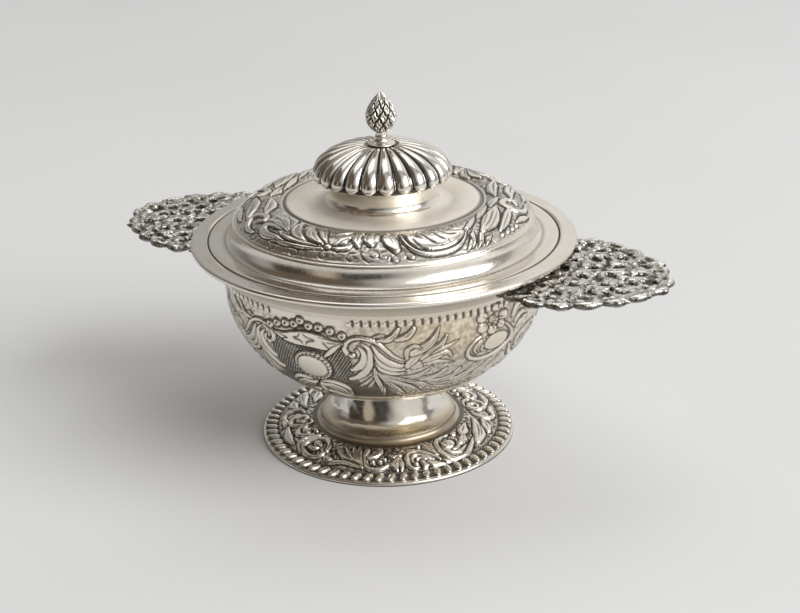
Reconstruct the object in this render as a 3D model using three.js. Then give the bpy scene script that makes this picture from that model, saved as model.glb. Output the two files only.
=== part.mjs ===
// A silver covered bowl: a raised and chased bowl on a spreading foot, with two pierced cast ears
// for handles, and a lift-off cover that carries a gadrooned dome and a pine-cone finial.
// Millimetres, +Z up. The origin is on the bowl's axis, in the plane that the foot stands on,
// and the handles lie along X.

import * as THREE from "three";

// Clearances
const SEAM = 0.3; // between two pieces that are soldered, screwed or rested face to face
const BEZEL_PLAY = 0.5; // between the cover's bezel and the inside of the bowl, at its tightest

// Foot
const FOOT_RADIUS = 48; // outside of the border, the widest part of the foot
const FOOT_WALL = 1;
const FOOT_BAND_INNER_RADIUS = 28.6;
const FOOT_BAND_EDGE_HEIGHT = 2.3; // top of the chased band where it meets the border
const FOOT_BAND_TOP_HEIGHT = 5.4; // top of the chased band at its inner edge
const FOOT_BAND_SWELL = 1.1; // how far the band bulges above a straight cone
const FOOT_SHOULDER_HEIGHT = 8; // where the waist stands on the foot
const FOOT_SHOULDER_LEDGE = 0.3; // how far the shoulder stands out past the waist

// Gadrooned border of the foot
const BORDER_WIDTH = 5.7;
const BORDER_HEIGHT = 3;
const BORDER_WIRE_WIDTH = 1; // the plain edge outside the lobes
const BORDER_WIRE_HEIGHT = 1.3;
const BORDER_LOBES = 66;
const BORDER_LOBE_DEPTH = 0.8;

// Waist, the collet between foot and bowl
const WAIST_BASE_RADIUS = 25;
const WAIST_TOP_RADIUS = 17.6;
const WAIST_HEIGHT = 12.4;
const WAIST_WALL = 1.1;
const WAIST_FLARE_HEIGHT = 2.7; // how high above its base the waist turns out into its flare

// Bowl
const BOWL_RADIUS = 59; // at the shoulder, where the body turns into the flared rim
const BOWL_DEPTH = 44.5; // from the shoulder down to the outside of the bottom
const BOWL_FULLNESS = 2.2; // 2 is an ellipse, more is squarer
const BOWL_WALL = 1.1;
const RIM_HEIGHT = 13.7; // from the shoulder up to the rim
const RIM_FLARE = 4; // how far the rim stands out past the shoulder
const RIM_WIRE_WIDTH = 1.5;
const RIM_WIRE_HEIGHT = 1.8;

// Ears, the two handles
const EAR_LENGTH = 46; // from the bowl's side out to the tip
const EAR_HALF_WIDTH = 34.5; // at the ear's shoulders
const EAR_ROOT_HALF_WIDTH = 28.2; // half of the width that is soldered to the bowl
const EAR_THICKNESS = 3;
const EAR_BELOW_WIRE = 0.8; // from the rim wire down to the top of the ear
const EAR_BEVEL = 0.7;
const EAR_SIDE = [
  [0.14, 0.94],
  [0.33, 1],
  [0.6, 0.84],
  [0.84, 0.52],
]; // from root to tip: shares of the ear's length, and of its half width
const EAR_SCALLOPS = 12;
const EAR_SCALLOP_DEPTH = 1.6;
const PIERCING_PITCH = 8.8; // from one pierced opening to the next
const PIERCING_LENGTH = 5.2;
const PIERCING_WIDTH = 3;
const PIERCING_TILT = THREE.MathUtils.degToRad(35); // neighbours lean opposite ways
const PIERCING_MARGIN = 6.2; // metal kept between an opening's centre and the ear's side

// Cover
const COVER_RADIUS = 70;
const COVER_WALL = 1;
const COVER_EDGE_DROP = 1; // how far the rolled edge hangs below the flange
const COVER_EDGE_WIDTH = 2.6;
const COVER_EDGE_ROUNDING = 0.6;
const GROOVE_RADIUS = 63.7; // the line cut into the flange
const GROOVE_WIDTH = 1;
const GROOVE_DEPTH = 0.45;
const FLANGE_INNER_RADIUS = 61.2; // where the flat flange starts to rise
const COVE_FOOT_RADIUS = 57.6;
const COVE_FOOT_RISE = 1.3; // heights on the cover are above the top of its flange
const BAND_OUTER_RADIUS = 54.3;
const BAND_OUTER_RISE = 6.7;
const BAND_INNER_RADIUS = 36.5;
const BAND_INNER_RISE = 12.5;
const BAND_SWELL = 3.1; // how far the chased band bulges above a straight cone
const BAND_BEAD = 0.45; // the thin raised line along the band's outer edge
const NECK_BASE_RADIUS = 19.6;
const NECK_BASE_RISE = 11.9;
const NECK_TOP_RADIUS = 20.9;
const NECK_HEIGHT = 8.3;
const BEZEL_DEPTH = 4.5; // how far the bezel reaches down below the rim
const BEZEL_WALL = 1.1;

// Gadrooned dome on the cover
const DOME_RADIUS = 25.3;
const DOME_HEIGHT = 10.9; // from the widest point up
const DOME_FULLNESS = 2.4;
const DOME_SEAT_RADIUS = 6; // the sunk round at the top, which the finial's collar stands on
const DOME_SEAT_DEPTH = 1;
const DOME_TURN_UNDER = 2.3; // from the widest point down to the seat
const DOME_TURN_IN = 1.5; // how far the lobes' lower ends turn in
const DOME_WALL = 1;
const DOME_LIP = 1.2; // how far the dome's lip reaches in past the neck
const DOME_LOBES = 24;
const DOME_LOBE_DEPTH = 1.3;

// Finial and what holds it
const COLLAR_RADIUS = 4.95;
const COLLAR_EDGE_HEIGHT = 0.8;
const COLLAR_HEIGHT = 2.9;
const COLLAR_NECK_RADIUS = 2.6;
const CONE_STEM_RADIUS = 2.15;
const CONE_STEM_HEIGHT = 1.7;
const CONE_RADIUS = 5.2; // at its widest, without the relief of the scales
const CONE_LOWER_HEIGHT = 4.9; // below the widest point
const CONE_UPPER_HEIGHT = 9.1; // above it
const CONE_LOWER_SHARPNESS = 0.7; // 1 is an ellipse, less is squarer
const CONE_UPPER_SHARPNESS = 0.85;
const CONE_SCALES = 10; // around
const CONE_SCALE_RELIEF = 0.35;
const STUD_RADIUS = 1.2;
const STUD_IN_CONE = 5; // length of the blind hole in the finial
const STUD_PAST_NUT = 1.5;
const WASHER_RADIUS = 4;
const WASHER_THICKNESS = 0.8;
const NUT_RADIUS = 2.9; // over its corners
const NUT_HEIGHT = 2;

// How finely the curves are cut
const TURN_SEGMENTS = 40;
const SMALL_TURN_SEGMENTS = 28;
const STUD_SEGMENTS = 16;
const DOME_SEGMENTS_PER_LOBE = 3;
const CURVE_STEPS = 4;
const SCALLOP_STEPS = 4;
const EAR_ROOT_STEPS = 12;
const CONE_LOWER_STEPS = 4;
const CONE_UPPER_STEPS = 7;

// Heights that follow from the sizes above
const WAIST_BASE_Z = FOOT_SHOULDER_HEIGHT + SEAM;
const WAIST_TOP_Z = WAIST_BASE_Z + WAIST_HEIGHT;
const STUD_BORE = STUD_RADIUS + SEAM;

// Finishes: colour and roughness
const CHASED = [0xb9b2a4, 0.34];
const PLAIN = [0xcfccc6, 0.24];
const CAST = [0xb3afa8, 0.3];
const STEEL = [0x9a9a98, 0.4];

const part = new THREE.Group();

function addPiece(name, geometry, [color, roughness], z = 0, turn = 0) {
  const material = new THREE.MeshStandardMaterial({ color, roughness, metalness: 1 });
  const mesh = new THREE.Mesh(geometry, material);
  mesh.name = name;
  mesh.position.z = z;
  mesh.rotation.z = turn;
  part.add(mesh);
}

// A point of a profile: radius and height.
const at = (radius, height) => new THREE.Vector2(radius, height);

// The points of a bend that leaves one point and reaches another, aiming at a third on the way.
const bend = (from, aim, to, steps = CURVE_STEPS) =>
  new THREE.QuadraticBezierCurve(from, aim, to).getPoints(steps);

// A bend whose middle stands off the straight line by a distance, to the right of its run.
function swelled(from, to, swell, steps = CURVE_STEPS) {
  const run = to.clone().sub(from).normalize();
  const middle = from.clone().add(to).multiplyScalar(0.5);
  return bend(from, middle.addScaledVector(at(run.y, -run.x), 2 * swell), to, steps);
}

// A quarter of a superellipse, from its centre at height 0 out to its full radius and height.
const dish = (radius, height, fullness, steps) =>
  Array.from({ length: steps + 1 }, (_, i) => {
    const turn = (i / steps) * (Math.PI / 2);
    return at(radius * Math.sin(turn) ** (2 / fullness), height * (1 - Math.cos(turn)));
  });

// A profile moved sideways, to the left of its run, by a distance that may change along it.
function offset(profile, distance) {
  const distanceAt = typeof distance === "function" ? distance : () => distance;
  return profile.map((point, i) => {
    const into = i > 0 ? point.clone().sub(profile[i - 1]).normalize() : null;
    const out = i < profile.length - 1 ? profile[i + 1].clone().sub(point).normalize() : null;
    const run = (into ?? out).clone().add(out ?? into).normalize();
    const miter = distanceAt(point) / run.dot(into ?? out);
    return at(point.x === 0 ? 0 : point.x - run.y * miter, point.y + run.x * miter);
  });
}

// Where a profile crosses a given value of one coordinate: the value of the other.
function crossing(profile, key, value, other) {
  const i = profile.findIndex(
    (b, n) => n > 0 && (value - profile[n - 1][key]) * (value - b[key]) <= 0,
  );
  const [a, b] = [profile[i - 1], profile[i]];
  return a[other] + ((value - a[key]) / (b[key] - a[key])) * (b[other] - a[other]);
}
const radiusAt = (profile, height) => crossing(profile, "y", height, "x");
const heightAt = (profile, radius) => crossing(profile, "x", radius, "y");

// The solid that a profile makes when it is turned about +Z. Its run keeps the metal on the left,
// and it starts and ends on the axis, or closes on itself.
const turned = (profile, segments = TURN_SEGMENTS) =>
  new THREE.LatheGeometry(profile, segments).rotateX(Math.PI / 2);

// A turned solid whose surface lies between two profiles: rise tells how near the outer one.
function relieved(outer, inner, segments, rise) {
  const geometry = new THREE.LatheGeometry(outer, segments);
  const position = geometry.getAttribute("position");
  for (let i = 0; i < position.count; i++) {
    const row = i % outer.length;
    const column = Math.floor(i / outer.length) % segments;
    const { x: radius, y: height } = inner[row].clone().lerp(outer[row], rise(column, row));
    const turn = (column / segments) * 2 * Math.PI;
    position.setXYZ(i, radius * Math.sin(turn), height, radius * Math.cos(turn));
  }
  return geometry.rotateX(Math.PI / 2);
}

const closed = (profile) => [...profile, profile[0]];

const ring = (inner, outer, height) =>
  closed([at(inner, 0), at(outer, 0), at(outer, height), at(inner, height)]);

// Foot: chased sheet between the border and the shoulder that carries the waist

function footProfile() {
  const edge = at(FOOT_RADIUS - BORDER_WIDTH - SEAM, FOOT_BAND_EDGE_HEIGHT);
  const bandTop = at(FOOT_BAND_INNER_RADIUS, FOOT_BAND_TOP_HEIGHT);
  const shoulder = at(WAIST_BASE_RADIUS + FOOT_SHOULDER_LEDGE, FOOT_SHOULDER_HEIGHT);
  const cove = bend(bandTop, at(shoulder.x, bandTop.y), shoulder, 2);
  const top = [...swelled(edge, bandTop, FOOT_BAND_SWELL), ...cove.slice(1)];
  return closed([...top, ...offset(top, FOOT_WALL).reverse()]);
}

// Border: a ring of round lobes with a plain wire edge, which the whole bowl stands on

function borderProfile(height) {
  const inner = FOOT_RADIUS - BORDER_WIDTH;
  const lobesOuter = FOOT_RADIUS - BORDER_WIRE_WIDTH;
  const middle = (inner + lobesOuter) / 2;
  const crown = [1, 2].map((third) => {
    const turn = (third * Math.PI) / 3;
    const lift = (height - BORDER_WIRE_HEIGHT) * Math.sin(turn);
    return at(middle + (middle - inner) * Math.cos(turn), BORDER_WIRE_HEIGHT + lift);
  });
  const wire = [at(FOOT_RADIUS, BORDER_WIRE_HEIGHT), at(lobesOuter, BORDER_WIRE_HEIGHT)];
  const seam = [at(inner, FOOT_BAND_EDGE_HEIGHT - SEAM), at(inner, 0)];
  return closed([...wire, ...crown, ...seam, at(FOOT_RADIUS, 0)]);
}

function border() {
  const crests = borderProfile(BORDER_HEIGHT);
  const valleys = borderProfile(BORDER_HEIGHT - BORDER_LOBE_DEPTH);
  return relieved(crests, valleys, 2 * BORDER_LOBES, (column) => column % 2);
}

// Waist: a trumpet-shaped collet, slender at the bowl and flared at the foot

function waistProfile() {
  const flank = (thickness, baseThickness) =>
    bend(
      at(WAIST_BASE_RADIUS - baseThickness, 0),
      at(WAIST_TOP_RADIUS - thickness, WAIST_FLARE_HEIGHT - thickness / 2),
      at(WAIST_TOP_RADIUS - thickness, WAIST_HEIGHT),
      5,
    );
  return closed([...flank(0, 0), ...flank(WAIST_WALL, 2 * WAIST_WALL).reverse()]);
}

// Bowl: its bottom rests on the waist's top edge, and its rim is level

const waistSeat = dish(BOWL_RADIUS, BOWL_DEPTH, BOWL_FULLNESS, 2 * TURN_SEGMENTS);
const BOWL_Z = WAIST_TOP_Z + SEAM - heightAt(waistSeat, WAIST_TOP_RADIUS - WAIST_WALL);
const RIM_Z = BOWL_Z + BOWL_DEPTH + RIM_HEIGHT;

function bowlOutside() {
  const body = dish(BOWL_RADIUS, BOWL_DEPTH, BOWL_FULLNESS, 8);
  const shoulder = body.at(-1);
  const aim = at(BOWL_RADIUS, BOWL_DEPTH + RIM_HEIGHT / 2);
  const rim = at(BOWL_RADIUS + RIM_FLARE, BOWL_DEPTH + RIM_HEIGHT);
  return [...body, ...bend(shoulder, aim, rim, 3).slice(1)];
}

function bowlInside() {
  const inside = offset(bowlOutside(), BOWL_WALL);
  inside.at(-1).y = BOWL_DEPTH + RIM_HEIGHT;
  return inside;
}

const bowlProfile = () => [...bowlOutside(), ...bowlInside().reverse()];

// Rim wire: half round, soldered round the outside of the rim, flush with it

function rimWireProfile() {
  const inner = BOWL_RADIUS + RIM_FLARE + SEAM;
  const belly = swelled(at(inner, 0), at(inner, RIM_WIRE_HEIGHT), RIM_WIRE_WIDTH);
  return closed(belly);
}

// Ears: flat castings with a scalloped outline, pierced all over, soldered under the rim wire

const EAR_TOP_Z = RIM_Z - RIM_WIRE_HEIGHT - EAR_BELOW_WIRE;
const EAR_ROOT_RADIUS = radiusAt(bowlOutside(), EAR_TOP_Z - BOWL_Z) + SEAM;
const EAR_ROOT_ANGLE = Math.asin(EAR_ROOT_HALF_WIDTH / EAR_ROOT_RADIUS);
const EAR_REACH = EAR_ROOT_RADIUS + EAR_LENGTH;

// The ear's outline without its scallops, from one end of the root round the tip to the other.
function earEnvelope() {
  const [x, y] = [Math.cos(EAR_ROOT_ANGLE), Math.sin(EAR_ROOT_ANGLE)];
  const root = at(EAR_ROOT_RADIUS * x, EAR_ROOT_RADIUS * y);
  const length = EAR_REACH - root.x;
  const onSide = ([out, across]) => at(root.x + out * length, across * EAR_HALF_WIDTH);
  const side = [root, ...EAR_SIDE.map(onSide)];
  const otherSide = side.map((p) => at(p.x, -p.y)).reverse();
  return new THREE.SplineCurve([...side, at(EAR_REACH, 0), ...otherSide]);
}

function earOutline(envelope) {
  const steps = SCALLOP_STEPS * EAR_SCALLOPS;
  const scallops = Array.from({ length: steps + 1 }, (_, i) => {
    const share = i / steps;
    const sunk = EAR_SCALLOP_DEPTH * (1 - Math.abs(Math.cos(Math.PI * EAR_SCALLOPS * share)));
    const run = envelope.getTangentAt(share);
    return envelope.getPointAt(share).addScaledVector(at(run.y, -run.x), sunk);
  });
  const root = Array.from({ length: EAR_ROOT_STEPS - 1 }, (_, i) => {
    const turn = EAR_ROOT_ANGLE * ((2 * (i + 1)) / EAR_ROOT_STEPS - 1);
    return at(EAR_ROOT_RADIUS * Math.cos(turn), EAR_ROOT_RADIUS * Math.sin(turn));
  });
  return [...scallops, ...root];
}

// Pierced openings lie in rows round the bowl's axis, each row half a pitch past the last.
function earPiercings(envelope) {
  const side = envelope.getPoints(100).filter((p) => p.y >= 0);
  const piercings = [];
  const rows = Math.floor(EAR_LENGTH / PIERCING_PITCH);
  for (let row = 0; row < rows; row++) {
    const radius = EAR_ROOT_RADIUS + PIERCING_PITCH * (row + 0.75);
    const across = Math.ceil(EAR_HALF_WIDTH / PIERCING_PITCH);
    for (let place = -across; place <= across; place++) {
      const turn = ((place + (row % 2) / 2) * PIERCING_PITCH) / radius;
      const centre = at(radius * Math.cos(turn), radius * Math.sin(turn));
      if (centre.x > EAR_REACH - PIERCING_MARGIN) continue;
      if (Math.abs(centre.y) > heightAt(side, centre.x) - PIERCING_MARGIN) continue;
      piercings.push({ centre, lean: turn + PIERCING_TILT * ((place + row) % 2 ? 1 : -1) });
    }
  }
  return piercings;
}

function ear() {
  const envelope = earEnvelope();
  const shape = new THREE.Shape(earOutline(envelope));
  for (const { centre, lean } of earPiercings(envelope)) {
    const [halfLength, halfWidth] = [PIERCING_LENGTH / 2, PIERCING_WIDTH / 2];
    const hole = new THREE.Path();
    hole.absellipse(centre.x, centre.y, halfLength, halfWidth, 0, 2 * Math.PI, false, lean);
    shape.holes.push(hole);
  }
  return new THREE.ExtrudeGeometry(shape, {
    depth: EAR_THICKNESS - 2 * EAR_BEVEL,
    curveSegments: 3,
    bevelSegments: 1,
    bevelSize: EAR_BEVEL,
    bevelOffset: -EAR_BEVEL,
    bevelThickness: EAR_BEVEL,
  }).translate(0, 0, EAR_BEVEL - EAR_THICKNESS);
}

// Cover: its flange rests on the rim, and everything on it is measured from the flange's underside

const COVER_Z = RIM_Z + SEAM;
const onFlange = (radius, rise) => at(radius, COVER_WALL + rise);

function coverTop() {
  const bandOuter = onFlange(BAND_OUTER_RADIUS, BAND_OUTER_RISE);
  const bandInner = onFlange(BAND_INNER_RADIUS, BAND_INNER_RISE);
  const coveFoot = onFlange(COVE_FOOT_RADIUS, COVE_FOOT_RISE);
  const neckBase = onFlange(NECK_BASE_RADIUS, NECK_BASE_RISE);
  const neckTop = onFlange(NECK_TOP_RADIUS, NECK_BASE_RISE + NECK_HEIGHT);
  return [
    onFlange(COVER_RADIUS - COVER_EDGE_WIDTH, 0),
    onFlange(FLANGE_INNER_RADIUS, 0),
    ...bend(coveFoot, at(bandOuter.x, coveFoot.y), bandOuter, 3),
    ...swelled(bandOuter, bandInner, BAND_SWELL).slice(1),
    ...bend(neckBase, at(neckBase.x, (neckBase.y + neckTop.y) / 2), neckTop, 2),
  ];
}

function coverRim() {
  const [outer, under] = [COVER_RADIUS, -COVER_EDGE_DROP];
  const rounding = COVER_EDGE_ROUNDING;
  return [
    at(outer - COVER_EDGE_WIDTH, under),
    at(outer - rounding, under),
    at(outer, under + rounding),
    at(outer, COVER_WALL - rounding),
    at(outer - rounding, COVER_WALL),
    onFlange(GROOVE_RADIUS + GROOVE_WIDTH / 2, 0),
    onFlange(GROOVE_RADIUS, -GROOVE_DEPTH),
    onFlange(GROOVE_RADIUS - GROOVE_WIDTH / 2, 0),
  ];
}

// The band's thin raised edge takes the place of the plain corner between cove and band.
function withBead(top) {
  const corner = top.findIndex((p) => p.x === BAND_OUTER_RADIUS);
  const { x, y } = top[corner];
  const bead = [at(x, y - BAND_BEAD), at(x + BAND_BEAD, y), at(x, y + BAND_BEAD)];
  return [...top.slice(0, corner), ...bead, ...top.slice(corner + 1)];
}

function coverUnderside() {
  const underside = offset(coverTop(), COVER_WALL);
  underside.at(-1).y = coverTop().at(-1).y; // the neck's top edge is level
  return underside;
}

const coverProfile = () =>
  closed([...coverRim(), ...withBead(coverTop().slice(1)), ...coverUnderside().reverse()]);

// Bezel: the ring under the cover that keeps it centred in the bowl

function addBezel() {
  const base = BOWL_DEPTH + RIM_HEIGHT - BEZEL_DEPTH;
  const outer = radiusAt(bowlInside(), base) - BEZEL_PLAY;
  const top = COVER_Z + heightAt(coverUnderside(), outer) - SEAM;
  const height = top - (RIM_Z - BEZEL_DEPTH);
  addPiece("lid_bezel", turned(ring(outer - BEZEL_WALL, outer, height)), PLAIN, RIM_Z - BEZEL_DEPTH);
}

// Dome: a lobed cap whose lip rests on the cover's neck, with a hole for the stud at its top

const DOME_Z = COVER_Z + COVER_WALL + NECK_BASE_RISE + NECK_HEIGHT + SEAM;
const DOME_TOP = DOME_TURN_UNDER + DOME_HEIGHT;
const DOME_SEAT = DOME_TOP - DOME_SEAT_DEPTH;

function domeCrests() {
  const cap = dish(DOME_RADIUS, DOME_HEIGHT, DOME_FULLNESS, 6)
    .map((p) => at(p.x, DOME_TOP - p.y))
    .filter((p) => p.x > DOME_SEAT_RADIUS + DOME_SEAT_DEPTH)
    .reverse();
  const seat = [at(DOME_SEAT_RADIUS, DOME_SEAT), at(STUD_BORE, DOME_SEAT)];
  return [at(DOME_RADIUS - DOME_TURN_IN, 0), ...cap, ...seat];
}

const domeLobeDepth = (point) => (DOME_LOBE_DEPTH * point.x) / DOME_RADIUS;
const domeUnderside = () => offset(domeCrests(), (point) => DOME_WALL + domeLobeDepth(point));

function dome() {
  const lipInner = NECK_TOP_RADIUS - DOME_LIP;
  const inside = domeUnderside().slice(1);
  const lip = [at(inside[0].x, DOME_WALL), at(lipInner, DOME_WALL)];
  const whole = (cap) => closed([at(lipInner, 0), ...cap, ...inside.toReversed(), ...lip]);
  const crests = domeCrests();
  const rise = (column) => Math.abs(Math.sin((column * Math.PI) / DOME_SEGMENTS_PER_LOBE));
  const valleys = offset(crests, domeLobeDepth);
  valleys[0].y = 0;
  valleys.at(-1).x = STUD_BORE;
  return relieved(whole(crests), whole(valleys), DOME_LOBES * DOME_SEGMENTS_PER_LOBE, rise);
}

// Finial: a collar and a cast pine cone, drawn down on the dome by a stud, a washer and a nut

const COLLAR_Z = DOME_Z + DOME_SEAT + SEAM;
const CONE_Z = COLLAR_Z + COLLAR_HEIGHT + SEAM;

function collarProfile() {
  const edge = at(COLLAR_RADIUS, COLLAR_EDGE_HEIGHT);
  const neck = at(COLLAR_NECK_RADIUS, COLLAR_HEIGHT);
  const skirt = bend(edge, at(neck.x, edge.y), neck);
  return closed([at(STUD_BORE, 0), at(COLLAR_RADIUS, 0), ...skirt, at(STUD_BORE, COLLAR_HEIGHT)]);
}

// The cone's flank, from the stem to the tip, with its scales standing out by a relief.
function coneFlank(relief) {
  const widest = CONE_STEM_HEIGHT + CONE_LOWER_HEIGHT;
  const lower = Array.from({ length: CONE_LOWER_STEPS }, (_, i) => {
    const down = 1 - (i + 1) / CONE_LOWER_STEPS;
    const swell = Math.cos((down * Math.PI) / 2) ** CONE_LOWER_SHARPNESS;
    const radius = THREE.MathUtils.lerp(CONE_STEM_RADIUS, CONE_RADIUS, swell);
    return at(radius + relief, widest - CONE_LOWER_HEIGHT * down);
  });
  const upper = Array.from({ length: CONE_UPPER_STEPS - 1 }, (_, i) => {
    const up = (i + 1) / CONE_UPPER_STEPS;
    const radius = CONE_RADIUS * Math.cos((up * Math.PI) / 2) ** CONE_UPPER_SHARPNESS;
    return at(radius + relief, widest + CONE_UPPER_HEIGHT * up);
  });
  return [...lower, ...upper];
}

function cone() {
  const tip = at(0, CONE_STEM_HEIGHT + CONE_LOWER_HEIGHT + CONE_UPPER_HEIGHT);
  const stem = [at(CONE_STEM_RADIUS, 0), at(CONE_STEM_RADIUS, CONE_STEM_HEIGHT)];
  const hole = [at(0, STUD_IN_CONE), at(STUD_BORE, STUD_IN_CONE), at(STUD_BORE, 0)];
  const whole = (relief) => [...hole, ...stem, ...coneFlank(relief), tip];
  const lattice = (column, row) => (column + row) % 2;
  return relieved(whole(CONE_SCALE_RELIEF), whole(-CONE_SCALE_RELIEF), 2 * CONE_SCALES, lattice);
}

function nut() {
  const hexagon = Array.from({ length: 6 }, (_, i) =>
    at(NUT_RADIUS * Math.cos((i * Math.PI) / 3), NUT_RADIUS * Math.sin((i * Math.PI) / 3)),
  );
  const shape = new THREE.Shape(hexagon);
  shape.holes.push(new THREE.Path().absarc(0, 0, STUD_BORE, 0, 2 * Math.PI));
  return new THREE.ExtrudeGeometry(shape, {
    depth: NUT_HEIGHT,
    curveSegments: STUD_SEGMENTS / 2,
    bevelEnabled: false,
  });
}

function addFixing() {
  const washerTop = DOME_Z + heightAt(domeUnderside(), WASHER_RADIUS) - SEAM;
  const nutTop = washerTop - WASHER_THICKNESS - SEAM;
  const studBase = nutTop - NUT_HEIGHT - STUD_PAST_NUT;
  const studLength = CONE_Z + STUD_IN_CONE - SEAM - studBase;
  const washer = turned(ring(STUD_BORE, WASHER_RADIUS, WASHER_THICKNESS), STUD_SEGMENTS);
  const stud = new THREE.CylinderGeometry(STUD_RADIUS, STUD_RADIUS, studLength, STUD_SEGMENTS)
    .rotateX(Math.PI / 2)
    .translate(0, 0, studLength / 2);
  addPiece("finial_washer", washer, STEEL, washerTop - WASHER_THICKNESS);
  addPiece("finial_nut", nut(), STEEL, nutTop - NUT_HEIGHT);
  addPiece("finial_stud", stud, STEEL, studBase);
}

addPiece("foot", turned(footProfile()), CHASED);
addPiece("foot_border", border(), CHASED);
addPiece("foot_waist", turned(waistProfile(), SMALL_TURN_SEGMENTS), PLAIN, WAIST_BASE_Z);
addPiece("bowl", turned(bowlProfile()), CHASED, BOWL_Z);
addPiece("bowl_rim_wire", turned(rimWireProfile()), PLAIN, RIM_Z - RIM_WIRE_HEIGHT);
addPiece("handle_right", ear(), CAST, EAR_TOP_Z);
addPiece("handle_left", ear(), CAST, EAR_TOP_Z, Math.PI);
addPiece("lid", turned(coverProfile()), CHASED, COVER_Z);
addBezel();
addPiece("lid_dome", dome(), PLAIN, DOME_Z);
addPiece("finial_collar", turned(collarProfile(), SMALL_TURN_SEGMENTS), PLAIN, COLLAR_Z);
addPiece("finial", cone(), CAST, CONE_Z);
addFixing();

export default part;
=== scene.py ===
"""A silver covered bowl: chased, gadrooned and cast surfaces over the CAD model, in the same frame."""

import math

import bpy
import numpy as np
from mathutils import Matrix, Vector

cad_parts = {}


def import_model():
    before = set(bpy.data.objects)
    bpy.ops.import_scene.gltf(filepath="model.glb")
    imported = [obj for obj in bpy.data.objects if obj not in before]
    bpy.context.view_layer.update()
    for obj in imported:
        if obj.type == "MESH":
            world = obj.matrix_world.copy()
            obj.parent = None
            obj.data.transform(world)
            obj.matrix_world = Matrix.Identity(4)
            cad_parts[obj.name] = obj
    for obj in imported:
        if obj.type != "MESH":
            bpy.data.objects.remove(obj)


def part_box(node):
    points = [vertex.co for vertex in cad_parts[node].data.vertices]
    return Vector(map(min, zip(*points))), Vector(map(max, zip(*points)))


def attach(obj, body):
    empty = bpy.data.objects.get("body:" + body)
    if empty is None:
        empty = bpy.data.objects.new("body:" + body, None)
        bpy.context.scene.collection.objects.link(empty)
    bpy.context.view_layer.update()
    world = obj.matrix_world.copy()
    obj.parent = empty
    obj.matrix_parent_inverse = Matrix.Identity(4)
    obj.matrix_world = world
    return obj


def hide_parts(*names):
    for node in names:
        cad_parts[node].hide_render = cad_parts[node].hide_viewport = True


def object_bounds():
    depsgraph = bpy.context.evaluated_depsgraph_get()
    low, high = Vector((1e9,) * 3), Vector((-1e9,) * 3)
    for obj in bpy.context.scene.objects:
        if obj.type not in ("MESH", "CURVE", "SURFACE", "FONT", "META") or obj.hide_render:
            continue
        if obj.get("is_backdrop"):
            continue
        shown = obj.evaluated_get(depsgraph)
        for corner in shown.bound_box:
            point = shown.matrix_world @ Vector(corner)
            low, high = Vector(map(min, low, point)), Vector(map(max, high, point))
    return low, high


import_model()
CAD_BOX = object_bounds()

MM = 0.001
FRONT = -1.2  # the bowl's front cartouche; angles are in degrees from -Y towards +X
CAMERA_TURN = 26.0  # the photograph's camera, which the ornament of foot and cover faces
DENSE = 1080  # columns of bowl and cover
EDGE = 0.12  # width in millimetres over which a raised form ends
rng = np.random.default_rng(7)

# Profiles: points of (radius, height) in millimetres


def bend(a, aim, b, n):
    """A quadratic bend from a to b that aims at a third point on the way."""
    t = np.linspace(0, 1, n + 1)[:, None]
    return (1 - t) ** 2 * np.array(a) + 2 * t * (1 - t) * np.array(aim) + t * t * np.array(b)


def swelled(a, b, swell, n):
    """A bend whose middle stands off the straight line, to the right of its run."""
    a, b = np.array(a, float), np.array(b, float)
    run = (b - a) / np.hypot(*(b - a))
    return bend(a, (a + b) / 2 + 2 * swell * np.array([run[1], -run[0]]), b, n)


def join(*runs):
    """Runs of points end to end, without doubled points."""
    points = np.vstack([np.atleast_2d(np.array(run, float)) for run in runs])
    return points[np.r_[True, np.hypot(*np.diff(points, axis=0).T) > 1e-6]]


def lengths(points):
    """How far along a run each of its points lies."""
    return np.r_[0, np.cumsum(np.linalg.norm(np.diff(points, axis=0), axis=1))]


def resampled(points, step):
    """The same run with points about one step apart."""
    along = lengths(points)
    at = np.linspace(0, along[-1], max(2, int(round(along[-1] / step)) + 1))
    return np.stack([np.interp(at, along, points[:, 0]), np.interp(at, along, points[:, 1])], 1)


def rows_of(*runs):
    """A profile from runs of (points, step), and the number of the first row of each run."""
    parts, starts, count = [], [], 0
    for points, step in runs:
        part = resampled(join(points), step)
        if parts and np.hypot(*(part[0] - parts[-1][-1])) < 1e-6:
            part = part[1:]
        starts.append(count)
        parts.append(part)
        count += len(part)
    return np.vstack(parts), starts + [count]


def normals(points):
    """Unit normals to the right of a run, which is outwards on an outside that runs upwards."""
    run = np.gradient(points, axis=0)
    run /= np.hypot(*run.T)[:, None]
    return np.stack([run[:, 1], -run[:, 0]], 1)


def offset(points, distance):
    """A run moved to the left, into the metal."""
    moved = points - normals(points) * distance
    moved[:, 0] = np.maximum(moved[:, 0], 0)
    return moved


def rounded(points, radius):
    """An open run with its inner corners rounded."""
    out = [points[0]]
    for before, corner, after in zip(points[:-2], points[1:-1], points[2:]):
        back, on = before - corner, after - corner
        a = corner + back / np.hypot(*back) * min(radius, np.hypot(*back) / 2.2)
        b = corner + on / np.hypot(*on) * min(radius, np.hypot(*on) / 2.2)
        out.extend(bend(a, corner, b, 4))
    out.append(points[-1])
    return join(out)


def unit(value):
    """A value kept from 0 to 1."""
    return np.clip(value, 0, 1)


def around(columns):
    """The columns' angles in degrees."""
    return np.arange(columns) * 360 / columns


# Meshes and pieces


def stand(name, data):
    """A new object in the scene."""
    made = bpy.data.objects.new(name, data)
    bpy.context.scene.collection.objects.link(made)
    return made


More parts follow.
